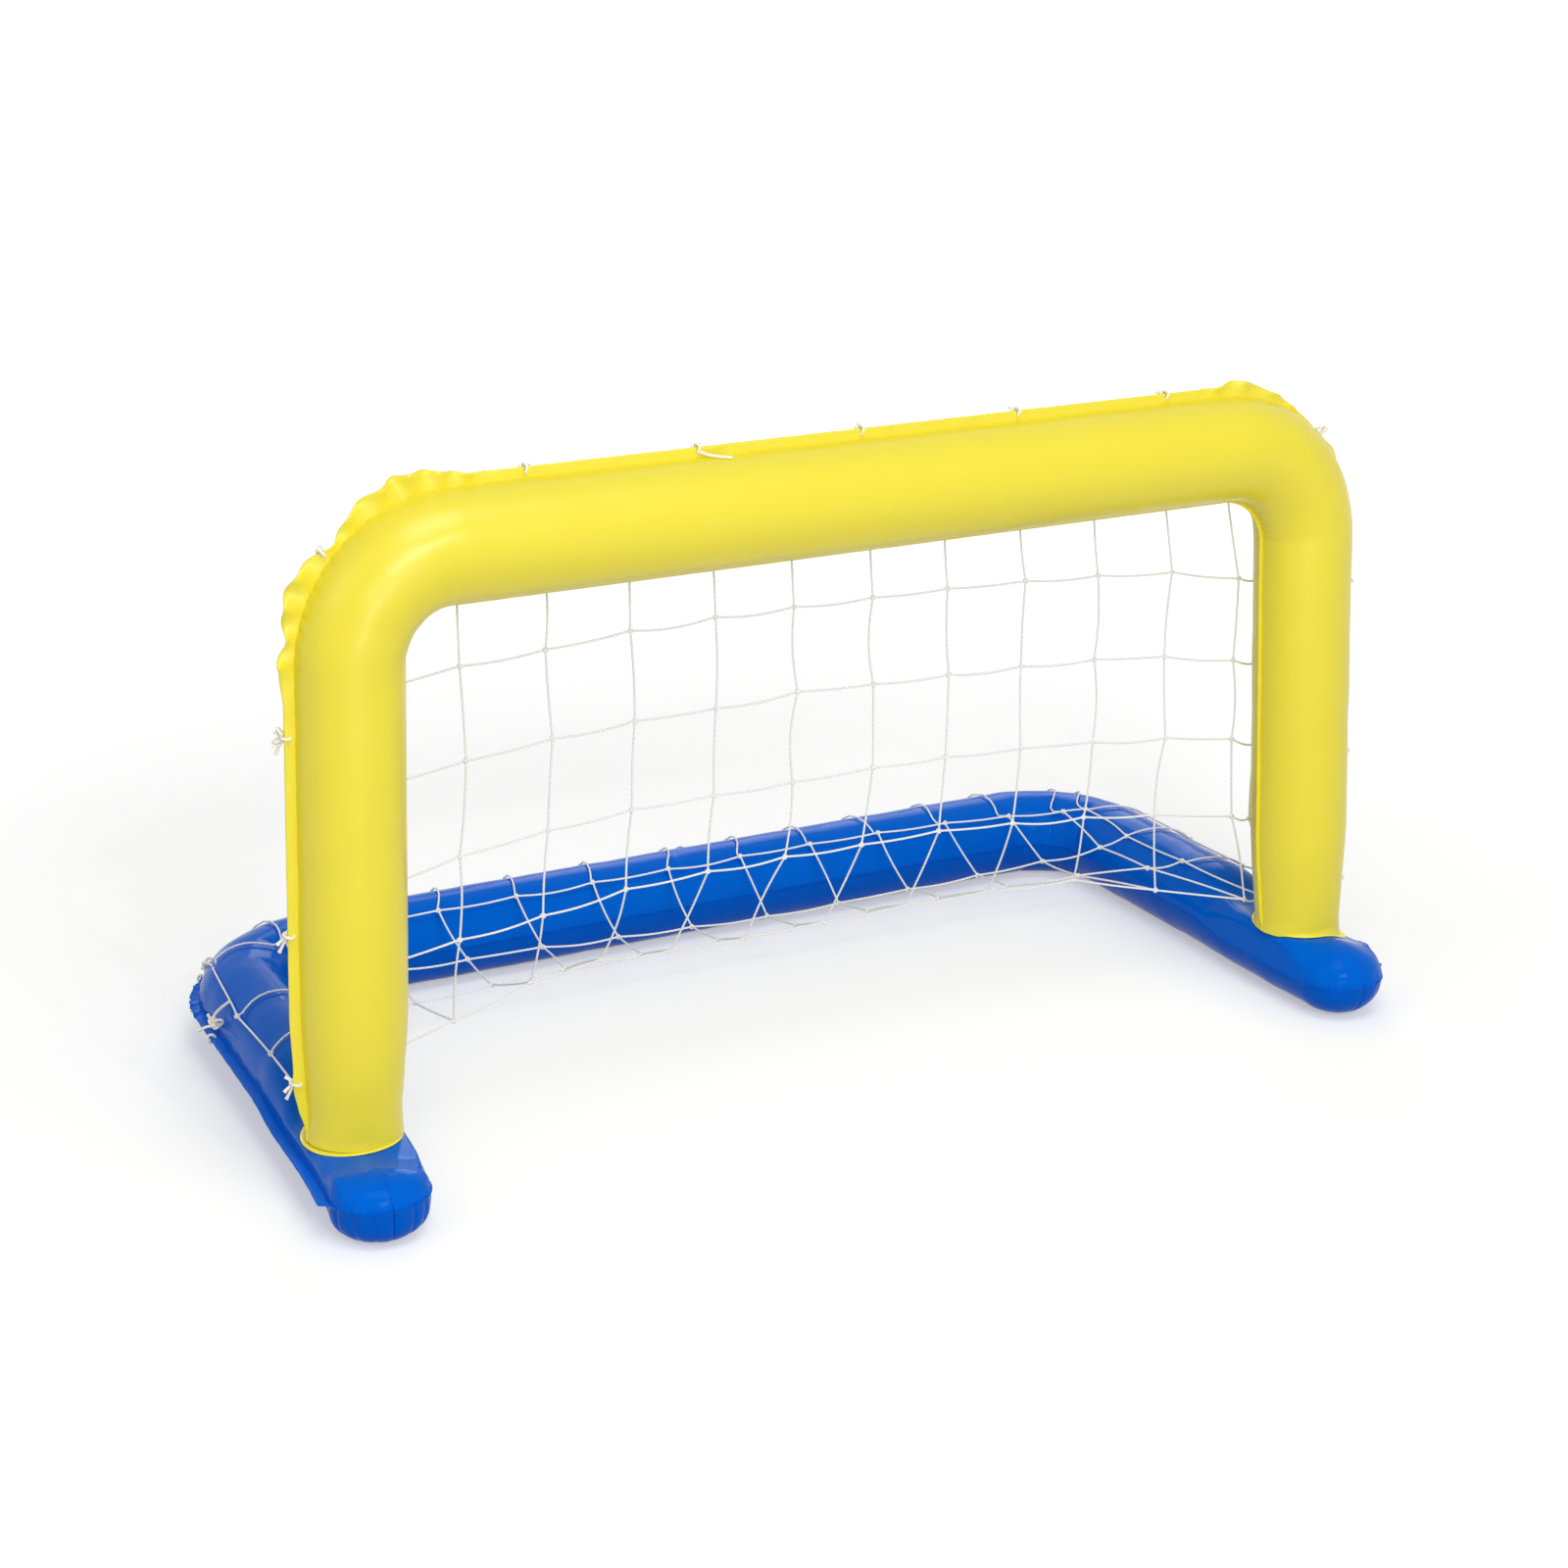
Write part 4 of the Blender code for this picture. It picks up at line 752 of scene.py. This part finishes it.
def tubes(lines, radius, sides, towards, closed=False):
    """Round cords along k lines of n points. Each ring of points is square to its line: its
    first axis is the line's direction crossed with towards, and its second completes the frame.
    Returns the points, the faces, their caps and the UV map (distance along, turn around)."""
    lines = np.asarray(lines, float)
    count, length = lines.shape[:2]
    ahead = np.roll(lines, -1, 1) - np.roll(lines, 1, 1) if closed else np.gradient(lines, axis=1)
    ahead = ahead / np.linalg.norm(ahead, axis=2, keepdims=True)
    across = np.cross(ahead, np.broadcast_to(towards, lines.shape))
    across = across / np.linalg.norm(across, axis=2, keepdims=True)
    above = np.cross(across, ahead)
    turn = 2 * np.pi * np.arange(sides) / sides
    thick = np.broadcast_to(radius, (count, length))[:, :, None, None]
    ring = across[:, :, None] * np.cos(turn)[:, None] + above[:, :, None] * np.sin(turn)[:, None]
    points = (lines[:, :, None] + ring * thick).reshape(-1, 3)
    steps = length if closed else length - 1
    k, i, m = np.meshgrid(np.arange(count), np.arange(steps), np.arange(sides), indexing="ij")
    here = (k * length + i) * sides
    after = (k * length + (i + 1) % length) * sides
    side_by = (m + 1) % sides
    faces = np.stack((here + m, here + side_by, after + side_by, after + m), -1).reshape(-1, 4)
    run = np.linalg.norm(np.diff(lines, axis=1, append=lines[:, :1]), axis=2)
    run = np.concatenate((np.zeros((count, 1)), np.cumsum(run, axis=1)), axis=1)
    u0, u1 = run[k, i], run[k, i + 1]
    v0, v1 = m / sides, (m + 1) / sides
    uv = np.stack((u0, v0, u0, v1, u1, v1, u1, v0), -1).reshape(-1, 4, 2)
    caps = []
    if not closed:
        for line in range(count):
            caps.append(list(range(line * length * sides, line * length * sides + sides))[::-1])
            last = (line * length + length - 1) * sides
            caps.append(list(range(last, last + sides)))
    return points, faces, caps, uv


def corded(name, parts, paint):
    """One mesh of many cords, each part as tubes() gives it."""
    points, faces, uvs, start = [], [], [], 0
    for spots, quads, caps, uv in parts:
        points.append(spots)
        faces += (quads + start).tolist()
        uvs.append(uv.reshape(-1, 2))
        for cap in caps:
            faces.append([start + c for c in cap])
            uvs.append(np.zeros((len(cap), 2)))
        start += len(spots)
    mesh = bpy.data.meshes.new(name)
    mesh.from_pydata(np.concatenate(points).tolist(), [], faces)
    layer = mesh.uv_layers.new(name="cord")
    layer.data.foreach_set("uv", np.concatenate(uvs).astype(np.float32).ravel())
    return finished(name, mesh, paint, 60, merged=False)


def twisted(name, colour, shade, pitch, plies, radius):
    """Twisted cotton and polyester cord: plies wound round each other, with painted shade in the
    thin grooves between them, and short fibres that make it matt and a little uneven."""
    made, tree, shader = shaded(name)
    place = add(tree, "ShaderNodeTexCoord").outputs
    parts = add(tree, "ShaderNodeSeparateXYZ", {0: place["UV"]}).outputs
    along, around = (
        add(tree, "ShaderNodeMath", {0: part, 1: 2 * math.pi * turns}, operation="MULTIPLY").outputs[0]
        for part, turns in zip(parts, (1 / pitch, plies)))
    turn = add(tree, "ShaderNodeMath", {0: along, 1: around}, operation="ADD")
    wave = add(tree, "ShaderNodeMath", {0: turn.outputs[0]}, operation="SINE")
    ply = add(tree, "ShaderNodeMapRange", {0: wave.outputs[0], 1: -1.0, 2: 0.1, 3: 0.0, 4: 1.0}).outputs[0]
    fibre = add(tree, "ShaderNodeTexNoise", {"Vector": place["Object"], "Scale": 1800.0, "Detail": 2.0})
    # the grooves between the plies take the darker shade colour: painted shade
    mix = add(tree, "ShaderNodeMix", {0: ply, 6: linear(shade), 7: linear(colour)}, data_type="RGBA")
    normal = {}
    for strength, height, pattern in ((0.6, radius * 0.3, ply), (0.4, radius * 0.1, fibre.outputs[0])):
        bump = add(tree, "ShaderNodeBump",
                   {"Strength": strength, "Distance": height, "Height": pattern, **normal})
        normal = {"Normal": bump.outputs[0]}
    fill(shader, {"Base Color": mix.outputs[2], "Roughness": 0.85, "Sheen Weight": 0.2, **normal})
    return made


def hung(starts, ends, bows, points=13):
    """Strands between knots: straight lines that bow to one side by a half wave."""
    t = np.linspace(0, 1, points)[None, :, None]
    lines = starts[:, None] + (ends - starts)[:, None] * t + bows[:, None] * np.sin(np.pi * t)
    moved = outside(lines)
    moved[:, 0], moved[:, -1] = starts, ends
    return moved


def lump(centres, normals, size, cord, seed, points=36):
    """Small hard knots: each a cord wound three times round a ring while it goes twice about."""
    spin = np.random.default_rng(seed)
    t = np.linspace(0, 2 * np.pi, points, endpoint=False)
    ring = size * (1 + 0.42 * np.cos(3 * t))
    flat = np.stack((ring * np.cos(2 * t), ring * np.sin(2 * t), size * 0.5 * np.sin(3 * t)), -1)
    lines = []
    for centre, normal in zip(centres, normals):
        first = np.cross(normal, spin.normal(size=3))
        first /= np.linalg.norm(first)
        lines.append(centre + flat @ np.stack((first, np.cross(normal, first), normal)))
    lines = np.array(lines)
    towards = lines - np.asarray(centres)[:, None]
    return tubes(lines, cord, 6, towards, closed=True)


knots = net_knots()
draw = np.random.default_rng(7)
inner = knots[1:-1, 1:-1]
knots[1:-1, 1:-1] = outside(inner)
row_starts, row_ends = knots[:, :-1].reshape(-1, 3), knots[:, 1:].reshape(-1, 3)
row_bows = draw.normal(size=(len(row_starts), 3)) * (0.0010, 0.0012, 0.0014) + (0, 0, -0.0025)
column_starts, column_ends = knots[:-1].reshape(-1, 3), knots[1:].reshape(-1, 3)
column_bows = draw.normal(size=(len(column_starts), 3)) * (0.0022, 0.0015, 0.0008)
# the borders laced to the flanges are drawn straight
row_bows.reshape(net_rows + 1, net_columns, 3)[[0, -1]] = 0
column_bows.reshape(net_rows, net_columns + 1, 3)[:6, [0, -1]] = 0
strands = np.concatenate((hung(row_starts, row_ends, row_bows),
                          hung(column_starts, column_ends, column_bows)))
lean_to = np.where(np.abs(strands[:, -1] - strands[:, 0])[:, 1:2] > 0.06, (1.0, 0.0, 0.0), (0.1, 1.0, 0.2))
twine_parts = [tubes(strands, twine_radius, 7, lean_to[:, None])]
knotted = np.concatenate((knots[1:-1, 1:-1].reshape(-1, 3), knots[7:-1, 0], knots[7:-1, -1]))
twine_parts.append(lump(knotted, np.tile((0.1, -1.0, 0.2), (len(knotted), 1)), 0.0019, 0.0011, 3))
twine_paint = twisted("white twisted twine", "FFFFFF", "E2E2E0", 0.006, 2, twine_radius)
net = corded("net", twine_parts, twine_paint)
goal_piece(net, "net twine", "net_top", "net_left_edge", "net_right_edge", "net_back", "net_slope",
           "net_apron", "net_left_leg", "net_right_leg", "net_rear_left", "net_rear_right")

# Ties: soft white cord, thicker than the twine, put through an eyelet in a flange and round the
# net's border, knotted, and cut off with short ends. Some are tied with a bow.
tie_radius = 0.0018
tie_ring = 0.0048
eyelet_in = 0.0066
tie_knot = 0.0027
cord_paint = twisted("soft white tie cord", "FDFAF0", "EAE6D8", 0.008, 3, tie_radius)


def bent(start, way, length, droop, curl, points=14):
    """A short loose end: it leaves along its way, curls to one side and sinks with its length."""
    t = np.linspace(0, 1, points)[:, None]
    way = np.asarray(way, float) / np.linalg.norm(way)
    side = np.cross(way, (0.0, 0.0, 1.0))
    return start + way * length * t + side * curl * t ** 2 - np.array((0, 0, droop)) * t ** 2


def looped(start, way, size, tilt, points=22):
    """A bow's loop: a drop shape that leaves the knot and comes back to it."""
    way = np.asarray(way, float) / np.linalg.norm(way)
    side = np.cross(way, tilt)
    side /= np.linalg.norm(side)
    t = np.linspace(0, 2 * np.pi, points)[:, None]
    return start + way * size * (1 - np.cos(t)) + side * size * 0.62 * np.sin(t) * (1 - 0.35 * np.cos(t))


def any_towards(line):
    """A direction well off a line's own, for its first ring axis."""
    way = np.abs(line[-1] - line[0]) + np.abs(line[len(line) // 2] - line[0])
    return np.eye(3)[int(np.argmin(way))] + 0.01


def tie(name, spot, out, off, tails, bows=(), extra=(), knot=tie_knot, sits=(0.0, 0.0, 1.2)):
    """One tie: its loop through the eyelet, its knot, its ends and its bows. Ways are given as
    (along, out, off) shares; out points away from the tube, off to the side of the net. The knot
    sits that many loop radii from the loop's middle."""
    out, off = np.asarray(out, float), np.asarray(off, float)
    along = np.cross(out, off)
    axes = np.stack((along, out, off))
    middle = np.asarray(spot) + out * (flange - eyelet_in + tie_ring)
    t = np.linspace(0, 2 * np.pi, 28, endpoint=False)[:, None]
    ring = middle + (out * np.cos(t) + off * np.sin(t)) * tie_ring + along * 0.0007 * np.sin(2 * t)
    parts = [tubes(ring[None], tie_radius, 8, along, closed=True)]
    seat = middle + np.array(sits) @ axes * tie_ring
    parts.append(lump([seat], [off], knot, tie_radius, len(name)))
    for way, length, droop, curl in tails:
        line = bent(seat, np.array(way) @ axes, length, droop, curl)
        thick = tie_radius * (1 + 0.25 * np.linspace(0, 1, len(line)) ** 6)
        parts.append(tubes(line[None], thick, 8, any_towards(line)))
    for way, size in bows:
        line = looped(seat, np.array(way) @ axes, size, along)
        parts.append(tubes(line[None], tie_radius, 8, along + 0.3 * out))
    for line in extra:
        parts.append(tubes(np.asarray(line)[None], tie_radius, 8, any_towards(line)))
    made = corded(name + "_cord", parts, cord_paint)
    goal_piece(made, "net twine", name)
    return made


# the ties' loose ends, each with its way, length, droop and curl, and their bows, with way and size;
# the left side's stand out and have bows, the right post's lie behind it
plain_ends = (((1.0, -0.1, 0.5), 0.015, 0.004, 0.003), ((-0.7, 0.1, 0.7), 0.011, 0.003, -0.002))
behind_ends = (((0.5, -0.7, 1.0), 0.013, 0.003, 0.002), ((-0.5, -0.6, 1.0), 0.010, 0.002, -0.002))
right_post_ends = (((-0.9, 0.1, 0.8), 0.014, 0.003, 0.002), ((-0.6, -0.3, 0.9), 0.011, 0.002, -0.002))
left_post_ends = (((1.0, 0.5, 0.1), 0.020, 0.002, 0.004), ((0.7, 0.9, 0.2), 0.015, 0.001, -0.003),
                  ((-0.5, 0.8, 0.3), 0.012, 0.001, 0.003))
left_post_knots = (0.0038, 0.0034, 0.0036)
corner_knot, leg_knot = 0.0034, 0.0036
corner_ends =(((0.8, -0.3, 0.5), 0.019, 0.004, 0.004), ((-0.9, -0.2, 0.2), 0.020, 0.004, -0.003))
leg_tie_ends = (((0.8, 0.3, 0.5), 0.024, 0.006, 0.006), ((0.3, 0.9, 0.1), 0.020, 0.006, -0.004))
rear_bows = (((0.7, 0.6, 1.0), 0.005),)
post_bows = (((0.5, 0.9, 0.2), 0.0062), ((-0.8, 0.5, 0.2), 0.0055))
corner_bows = (((0.5, -0.6, 1.0), 0.0062), ((-0.8, -0.4, 0.9), 0.0058))
leg_bows = (((-0.6, -0.5, 0.7), 0.0065), ((0.9, 0.2, 0.6), 0.0058))
for n in range(-2, 3):
    x = n * 2 * mesh_size
    front_end = []
    if n == -1:
        # one long end comes forward through the eyelet and lies on the bar
        t = np.linspace(0, 1, 20)[:, None]
        turn = np.radians(2.5 + 12 * t)
        lies = bar_radius + tie_radius + 0.006 * (1 - t) ** 3
        front_end = [np.hstack((x + 0.034 * t, arch_y - lies * np.sin(turn), bar_z + lies * np.cos(turn)))]
    top_ends = (((0.5 * n, 0.5, 0.4), 0.009, 0.001, 0.002), plain_ends[1])
    tie("top_tie_%d" % (n + 3), (x, arch_y, bar_z + bar_radius), (0, 0, 1), (0, 1, 0), top_ends,
        extra=front_end)
    tie("rear_tie_%d" % (n + 3), (x, rear_y + base_radius, base_mid), (0, 1, 0), (0, 0, 1), plain_ends,
        rear_bows if n == -1 else ())

side_tie_heights = (0.529, 0.308, 0.137)
arch_corner_turn, base_corner_turn = math.radians(42), math.radians(38)
corner_radius = post_radius + (bar_radius - post_radius) * (arch_corner_turn - lean) / (np.pi / 2 - lean)
corner_seat, leg_seat = (0.0, -1.4, 3.4), (0.0, -1.2, 3.2)     # their knots stand up on the tube
for side, word in ((-1, "left"), (1, "right")):
    left = side < 0
    flip = np.array((side, 1.0, 1.0))
    out = np.array((math.cos(lean), 0.0, math.sin(lean))) * flip
    for n, z in enumerate(side_tie_heights):
        spot = np.array((side * (leg_x - post_slope * z), arch_y, z)) + out * post_width(z)
        ends = (left_post_ends[:2] if n == 1 else left_post_ends) if left else right_post_ends
        tie("%s_post_tie_%d" % (word, n + 1), spot, out, (0, 1, 0), ends,
            post_bows if left and n == 0 else (), (), left_post_knots[n] if left else tie_knot)
    out = np.array((math.cos(arch_corner_turn), 0.0, math.sin(arch_corner_turn))) * flip
    spot = np.array((side * corner_x, arch_y, corner_z)) + out * (arch_bend + corner_radius)
    tie(word + "_arch_corner_tie", spot, out, (0, 1, 0), plain_ends if left else behind_ends)
    out = np.array((math.cos(base_corner_turn), math.sin(base_corner_turn), 0.0)) * flip
    bend_y = rear_y - base_bend
    bend_x = leg_x - toe_share * (bend_y - arch_y) - base_bend
    spot = np.array((side * bend_x, bend_y, base_mid)) + out * (base_bend + base_radius)
    tie(word + "_base_corner_tie", spot, out, (0, 0, 1), corner_ends, corner_bows if left else (), (),
        corner_knot, corner_seat)
    # the leg tie's other end climbs the tube to the net's border on top of the leg
    low_end_knot, high_end_knot = (knots[k, 0 if left else -1] for k in (8, 9))
    border = low_end_knot + (high_end_knot - low_end_knot) * 0.3
    out = np.array((1.0, toe_share, 0.0)) / math.hypot(1, toe_share) * flip
    leg_middle = np.array((side * (leg_x - toe_share * (border[1] - arch_y)), border[1], base_mid))
    spot = leg_middle + out * base_radius
    seat = spot + out * (flange - eyelet_in + tie_ring * (1 + leg_seat[1])) + (0, 0, tie_ring * leg_seat[2])
    t = np.linspace(0, 1, 24)[:, None]
    climb = outside((seat + (border + (0, 0, 0.002) - seat) * t + out * 0.01 * np.sin(np.pi * t))[None])[0]
    tie(word + "_leg_tie", spot, out, (0, 0, 1), leg_tie_ends, leg_bows if left else (), [climb],
        leg_knot, leg_seat)

# Valves: one on the bar's back and one on the rear tube, of clear-tinted soft PVC. A seat disc
# with a collar is welded to the panel, a stem pushes in flush, a flap inside keeps the air, and
# a plug on a strap closes it.
valve_level = math.cos(math.pi / 4 / quarter_facets)    # the solids' facets lie this far out, in radii
valve_seat, seat_wall, seat_edge = 0.015, 0.0009, 0.0006
collar, collar_rise = 0.0088, 0.0026
stem_radius, stem_bore = 0.0065, 0.0042
stem_out, stem_in = 0.0112, 0.0090
stem_lip, lip = 0.0078, 0.0013
plug_head, plug_cap = 0.0074, 0.0016
plug_body, plug_end, plug_depth = 0.0037, 0.0031, 0.0058
flap_radius, flap_wall = 0.0054, 0.0009
valve_gap = 0.0003


def rounded(outline, cut):
    """A closed outline with each corner cut twice, to a small soft edge."""
    spots = np.array(outline, float)
    before, after = np.roll(spots, 1, 0), np.roll(spots, -1, 0)
    found = []
    for p, a, b in zip(spots, before, after):
        reach_a, reach_b = (min(cut, np.linalg.norm(q - p) * 0.4) for q in (a, b))
        start = p + (a - p) / np.linalg.norm(a - p) * reach_a
        end = p + (b - p) / np.linalg.norm(b - p) * reach_b
        found += [start, (start + end + 2 * p) / 4, end]
    return np.array(found)


def revolved(name, outline, place, paint, cut=0.0003, sides=48):
    """A soft-edged moulded piece: the closed outline of (radius, height) turned round the third
    axis. One that starts and ends on the axis is closed there by merging its points."""
    radius, height = rounded(outline, cut).T
    radius = np.maximum(radius, 0)
    turn = np.linspace(0, 2 * np.pi, sides, endpoint=False)[:, None]
    spots = np.stack((radius * np.cos(turn), radius * np.sin(turn), height + turn * 0), -1)
    spots = spots @ place[:3, :3].T + place[:3, 3]
    first = np.arange(sides * len(radius)).reshape(sides, -1)
    after = np.roll(first, -1, 0)
    faces = np.stack((first, np.roll(first, -1, 1), np.roll(after, -1, 1), after), -1).reshape(-1, 4)
    mesh = bpy.data.meshes.new(name)
    mesh.from_pydata(spots.reshape(-1, 3).tolist(), [], faces.tolist())
    return finished(name, mesh, paint, 50)


def moulded(name, colour, deep):
    """Soft clear-tinted PVC, injection moulded: smooth, glossy and a little milky."""
    made, tree, shader = shaded(name)
    place = add(tree, "ShaderNodeTexCoord").outputs["Object"]
    cloud = add(tree, "ShaderNodeTexNoise", {"Vector": place, "Scale": 180.0, "Detail": 2.0}).outputs[0]
    mix = add(tree, "ShaderNodeMix", {0: cloud, 6: linear(deep), 7: linear(colour)}, data_type="RGBA")
    rough = add(tree, "ShaderNodeMapRange", {0: cloud, 1: 0.3, 2: 0.7, 3: 0.2, 4: 0.32})
    bump = add(tree, "ShaderNodeBump", {"Strength": 0.3, "Distance": 0.0001, "Height": cloud})
    fill(shader, {"Base Color": mix.outputs[2], "Roughness": rough.outputs[0], "Normal": bump.outputs[0],
                  "IOR": vinyl_ior, "Subsurface Weight": 0.15, "Subsurface Radius": (0.002, 0.002, 0.002)})
    return made


def valve(word, tube, axis, tube_radius, paint, slot):
    """The five pieces of one valve, from its place on the tube's middle and the way out of it."""
    across = np.array((1.0, 0.0, 0.0))
    sideways = np.cross(axis, across)
    place = np.eye(4)
    place[:3] = np.stack((across, sideways, axis, tube + axis * tube_radius * valve_level), -1)
    bore = stem_radius + valve_gap
    outline = ((bore, 0.0), (collar, 0.0), (collar, collar_rise), (bore, collar_rise))
    neck = revolved(word + "_valve_neck", outline, place, paint)
    # the seat disc is bent to the tube: its rings drop away from the axis on both long sides
    rho = np.concatenate((np.linspace(bore, valve_seat - seat_edge, 9), [valve_seat, valve_seat]))[:, None]
    way = np.linspace(0, 2 * np.pi, 65)[None, :]
    rise = np.concatenate((np.full(9, seat_wall), [seat_wall * 0.6, 0.0]))[:, None]
    bend = rho * np.sin(way) / tube_radius
    reach = tube_radius + valve_gap + rise
    round_tube = axis * (reach * np.cos(bend))[..., None] + sideways * (reach * np.sin(bend))[..., None]
    grid = tube + across * (rho * np.cos(way))[..., None] + round_tube
    disc = shell(word + "_valve_disc", grid, np.tile(tube, (len(rho), 1)), rho[:, 0], way[0] * valve_seat,
                 way[0] * 0, paint, seat_wall)
    goal_piece(disc, slot, word + "_valve_seat")
    goal_piece(neck, slot, word + "_valve_seat")
    lip_low, head_low = stem_out - lip, stem_out + valve_gap
    flap_top = -stem_in - valve_gap
    stem_outline = ((stem_bore, -stem_in), (stem_radius, -stem_in), (stem_radius, lip_low),
                    (stem_lip, lip_low), (stem_lip, stem_out), (stem_bore, stem_out))
    plug_outline = ((0.0, stem_out - plug_depth), (plug_end, stem_out - plug_depth),
                    (plug_body, stem_out - plug_cap / 2), (plug_body, head_low), (plug_head, head_low),
                    (plug_head, head_low + plug_cap), (0.0, head_low + plug_cap))
    flap_outline = ((0.0, flap_top - flap_wall), (flap_radius, flap_top - flap_wall), (flap_radius, flap_top),
                    (0.0, flap_top))
    for body, node, outline, cut in (("_stem", "_valve_stem", stem_outline, 0.0003),
                                     ("_plug", "_valve_plug", plug_outline, 0.0003),
                                     ("_flap", "_check_flap", flap_outline, 0.0002)):
        piece = revolved(word + body, outline, place, paint, cut)
        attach(piece, word + body)
        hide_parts(word + node)
    strap_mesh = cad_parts[word + "_plug_strap"].data
    strap_mesh.materials.clear()
    strap_mesh.materials.append(paint)


arch_clear = moulded("tinted soft PVC, yellow", "F6F0A8", "EDE48C")
base_clear = moulded("tinted soft PVC, blue", "4A92E8", "2F78D0")
valve("arch", *arch_valve, bar_radius, arch_clear, "arch valve vinyl")
valve("base", *base_valve, base_radius, base_clear, "base valve vinyl")
